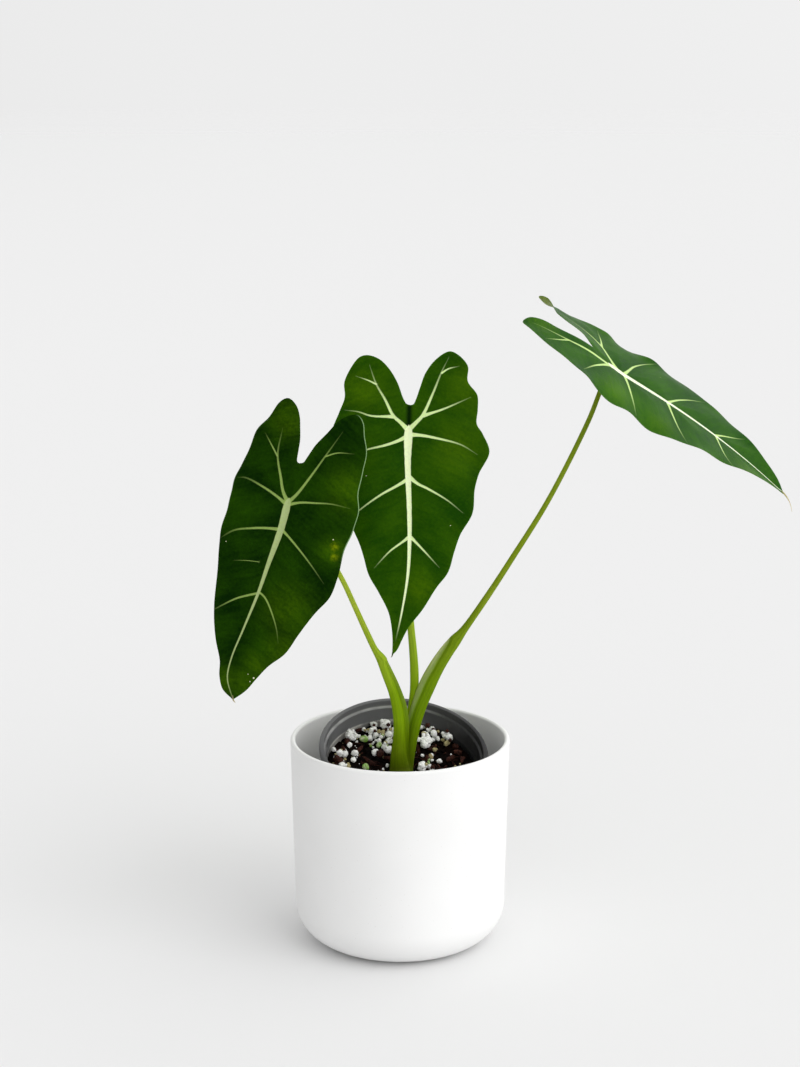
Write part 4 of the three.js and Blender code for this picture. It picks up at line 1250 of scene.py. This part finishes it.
def fit_of(node):
    """The middle, axes (longest first) and half sizes of a CAD node, in millimetres."""
    places = vertex_places(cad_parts[node])
    middle = (places.min(axis=0) + places.max(axis=0)) / 2
    _, _, axes = np.linalg.svd(places - places.mean(axis=0), full_matrices=False)
    if np.linalg.det(axes) < 0:
        axes[2] = -axes[2]
    along = (places - middle) @ axes.T
    half = (along.max(axis=0) - along.min(axis=0)) / 2
    return middle + (along.max(axis=0) + along.min(axis=0)) / 2 @ axes, axes, half


def on_node(node, points):
    """Scales a shape about 1 in radius to a CAD node's place, axes and size."""
    middle, axes, half = fit_of(node)
    points = points / np.abs(points).max(axis=0)
    return middle + points * half * FULLER @ axes


def numbered(kind):
    """The CAD nodes of one kind of granule."""
    return sorted(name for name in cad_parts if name.startswith(kind + "_"))


def perlite_finish():
    """Popped white glass, chalky, with pits and a little dirt in the hollows."""
    finish = Finish("perlite", (0.93, 0.93, 0.90))
    pits, cloud = finish.cells(1500.0), finish.noise(420.0, 4.0)
    finish.coat((0.99, 0.99, 0.98), cloud, 0.35, 0.65)
    finish.coat((0.46, 0.56, 0.30), cloud, 0.58, 0.70, 0.5)
    finish.coat((0.45, 0.42, 0.36), pits, 0.22, 0.05, 0.3)
    return finish.done((pits, 0.18), (cloud, 0.25), rough=(cloud, 0.7, 0.95), Subsurface_Weight=0.15,
                       Subsurface_Radius=(1, 1, 1), Subsurface_Scale=0.0008)


def green_granule_finish():
    """Perlite overgrown with algae."""
    finish = Finish("green_granule", (0.66, 0.72, 0.45))
    growth, pits = finish.noise(300.0, 4.0), finish.cells(1500.0)
    finish.coat((0.16, 0.34, 0.03), growth, 0.36, 0.6)
    return finish.done((pits, 0.15), (growth, 0.2), rough=(growth, 0.55, 0.85))


def tan_granule_finish():
    """Baked clay and grit."""
    finish = Finish("tan_granule", (0.30, 0.24, 0.10))
    grain, cloud = finish.noise(900.0, 4.0), finish.noise(260.0, 3.0)
    finish.coat((0.50, 0.45, 0.24), cloud, 0.35, 0.65)
    finish.coat((0.16, 0.09, 0.04), grain, 0.6, 0.75, 0.5)
    return finish.done((grain, 0.12), rough=(grain, 0.75, 0.95))


def bark_finish():
    """Reddish brown composted bark with a fibrous grain."""
    finish = Finish("bark", (0.010, 0.0035, 0.0025))
    grain, patch = finish.noise(650.0, 5.0, distortion=1.5), finish.noise(160.0, 3.0)
    finish.coat((0.075, 0.022, 0.014), grain, 0.36, 0.66)
    finish.coat((0.13, 0.042, 0.026), patch, 0.5, 0.7, 0.5)
    return finish.done((grain, 0.3), rough=(grain, 0.55, 0.85), Specular_IOR_Level=0.15)


def spin():
    """A random turn, as a matrix."""
    turn, _ = np.linalg.qr(draw.normal(size=(3, 3)))
    return turn


# Shapes of small pieces, and where on the soil they fall: x is to the right.

def small_lump():
    return popped(SMALL, 6, 0.35, 0.1)


def small_block():
    return boxed(SMALL, 0.7, 0.5)


def perlite_lump():
    return popped(SMALL, 8, 0.3, 0.1)


def anywhere(x, y):
    return True


def mostly_left(x, y):
    return x < 4 or draw.random() < 0.35


def mostly_right(x, y):
    return x > 0 or draw.random() < 0.45


def thinned(spread):
    """A third as many granules, scattered wider round the perlite's heaps."""
    return [(across, up_slope, spread * width, count // 3 + 1)
            for across, up_slope, width, count in PERLITE_HEAPS]


def stem_gap(places):
    """Distance from places in the nursery pot's frame to the skin of the nearest petiole."""
    world = leaned(places)
    gaps = []
    for rows in PETIOLES.values():
        x, y, z, half_width, _ = np.array(rows).T
        px, py, skin = (np.interp(world[:, 2], z, column) for column in (x, y, half_width))
        gaps.append(np.hypot(world[:, 0] - px, world[:, 1] - py) - skin)
    return np.min(gaps, axis=0)


def free_places(count, keep):
    """Random places on the soil, clear of the stem and of the larger pieces already there."""
    reach = nursery_inside(SOIL_TOP) - 3
    found = []
    while len(found) < count:
        x, y = draw.uniform(-reach, reach, 2)
        if (math.hypot(x, y) < reach and keep(x, y)
                and stem_gap([(x, y, SOIL_TOP)])[0] > STEM_CLEARANCE
                and all(math.hypot(x - px, y - py) - radius > CRUMB_CLEARANCE
                        for px, py, _, radius in taken)):
            found.append((x, y))
    return np.array(found)


def crumbs(name, count, sizes, shape, stretch, sink, keep):
    """Many small pieces of one kind, lying on the soil, as one object."""
    places = free_places(count, keep)
    heights = soil_height(*places.T)
    parts = []
    for (x, y), ground in zip(places, heights):
        size = sizes[0] + (sizes[1] - sizes[0]) * draw.random() ** 2
        points, faces = shape()
        points = points * size * stretch @ spin().T
        lift = -points[:, 2].min() * (1 - sink)
        parts.append((points + (x, y, ground + lift), faces))
        taken.append((x, y, ground + lift, size * 0.7))
    return joined(name, parts)


def heaps(name, clusters, sizes, shape):
    """Granules dropped on each other round some places."""
    reach = nursery_inside(SOIL_TOP)
    parts = []
    for across, up_slope, spread, count in clusters:
        for _ in range(count):
            x, y = draw.normal((across, up_slope), spread)
            radius = sizes[0] + (sizes[1] - sizes[0]) * draw.random() ** 1.5
            points, faces = shape()
            points = points * radius @ spin().T
            if math.hypot(x, y) + radius > reach:
                continue
            z = soil_height(np.array([x]), np.array([y]))[0] + 0.6 * radius
            for px, py, pz, other in taken:
                touch = NESTLE * (other + radius)
                away = math.hypot(x - px, y - py)
                if away < touch:
                    z = max(z, pz + math.sqrt(touch ** 2 - away ** 2))
            hides_green = any(abs(x - gx) < IN_FRONT["side"] and IN_FRONT["near"] < gy - y < IN_FRONT["far"]
                              for gx, gy in green_places)
            if z < SOIL_TOP + HEAP_HEIGHT and not hides_green and stem_gap([(x, y, z)])[0] > radius:
                parts.append((points + (x, y, z), faces))
                taken.append((x, y, z, radius))
    return joined(name, parts)


def fibres(name, count):
    """Thin rootlets and coir threads curling over the soil."""
    parts = []
    for x, y in free_places(count, anywhere):
        length, heading, bend = draw.uniform(4, 13), draw.uniform(0, 6.28), draw.uniform(-1.6, 1.6)
        s = np.linspace(-0.5, 0.5, 14)
        ahead, aside = length * s, bend * length * s * s
        line_x = x + ahead * math.cos(heading) - aside * math.sin(heading)
        line_y = y + ahead * math.sin(heading) + aside * math.cos(heading)
        # its middle stands off the soil and its ends go into it
        ground = soil_height(line_x, line_y).max()
        line = np.column_stack([line_x, line_y, ground + 0.6 - 4 * s * s])
        room = nursery_inside(SOIL_TOP) - 1.5 - np.hypot(line_x, line_y).max()
        if room >= 0 and stem_gap(line).min() >= FIBRE_CLEARANCE:
            thick = 0.16 * (1 - 1.2 * s * s)
            parts.append(tube(round_rings(line, thick, thick, 7)))
    return joined(name, parts)


def note_cad_pieces():
    """Marks the places of the CAD pieces on the soil as taken."""
    for kind in ("perlite", "green_granule", "tan_granule", "bark"):
        for node in numbered(kind):
            middle, _, half = fit_of(node)
            x, y, z = (middle - LEAN[:3, 3]) @ LEAN[:3, :3]
            taken.append((x, y, z, half[1]))
            if kind == "green_granule":
                green_places.append((x, y))


# ---------------------------------------------------------------- assembly

stage_and_light()

hand_over(cover_pot(), ceramic_finish(), "white_ceramic", "cover_pot")
hand_over(nursery_pot(), plastic_finish(), "dark_plastic", "nursery_pot")
hand_over(joined("corm_and_roots", corm_parts(0, 96, 120)), corm_finish(), "corm", "corm")
looks = {"soil": soil_finish()}
hand_over(soil_body(), looks["soil"], "soil", "soil")

for side in LEAVES:
    hand_over(petiole_object(side), petiole_finish(side), "petiole", f"{side}_petiole")
    hand_over(blade_object(side), leaf_finish(side), "leaf_blade", f"{side}_leaf")

looks["perlite"] = perlite_finish()
looks["green_granule"] = green_granule_finish()
looks["tan_granule"] = tan_granule_finish()
looks["bark"] = bark_finish()
note_cad_pieces()
for kind, lobes, depth, roughness in (
    ("perlite", 11, 0.34, 0.10), ("green_granule", 4, 0.16, 0.04), ("tan_granule", 5, 0.25, 0.08),
):
    for node in numbered(kind):
        points, faces = popped(LARGE, lobes, depth, roughness)
        hand_over(make_object(f"{node}_grain", on_node(node, points), faces), looks[kind], kind, node)
for node in numbered("bark"):
    points, faces = boxed(LARGE, 0.7, 0.5)
    hand_over(make_object(f"{node}_chip", on_node(node, points), faces), looks["bark"], "bark", node)

for kind, name, clusters, sizes, shape in (
    ("perlite", "perlite_heaps", PERLITE_HEAPS, (0.9, 2.7), perlite_lump),
    ("tan_granule", "tan_heaps", thinned(1.3), (0.9, 1.9), small_lump),
    ("bark", "bark_heaps", thinned(1.5), (0.9, 2.2), small_block),
    ("green_granule", "green_heaps", GREEN_HEAPS, (0.9, 1.8), small_lump),
):
    hand_over(heaps(name, clusters, sizes, shape), looks[kind], kind)
for kind, name, *choices in (
    ("perlite", "perlite_crumbs", 110, (0.4, 1.7), small_lump, (1, 0.85, 0.8), 0.25, mostly_left),
    ("bark", "bark_flakes", 80, (0.8, 3.0), small_block, (1, 0.45, 0.28), 0.2, mostly_right),
    ("tan_granule", "tan_grit", 30, (0.5, 1.1), small_lump, (1, 0.9, 0.8), 0.2, anywhere),
    ("soil", "soil_clods", 150, (0.8, 2.4), small_lump, (1, 0.85, 0.75), 0.35, anywhere),
):
    hand_over(crumbs(name, *choices), looks[kind], kind)
hand_over(fibres("root_threads", 90), looks["bark"], "bark")
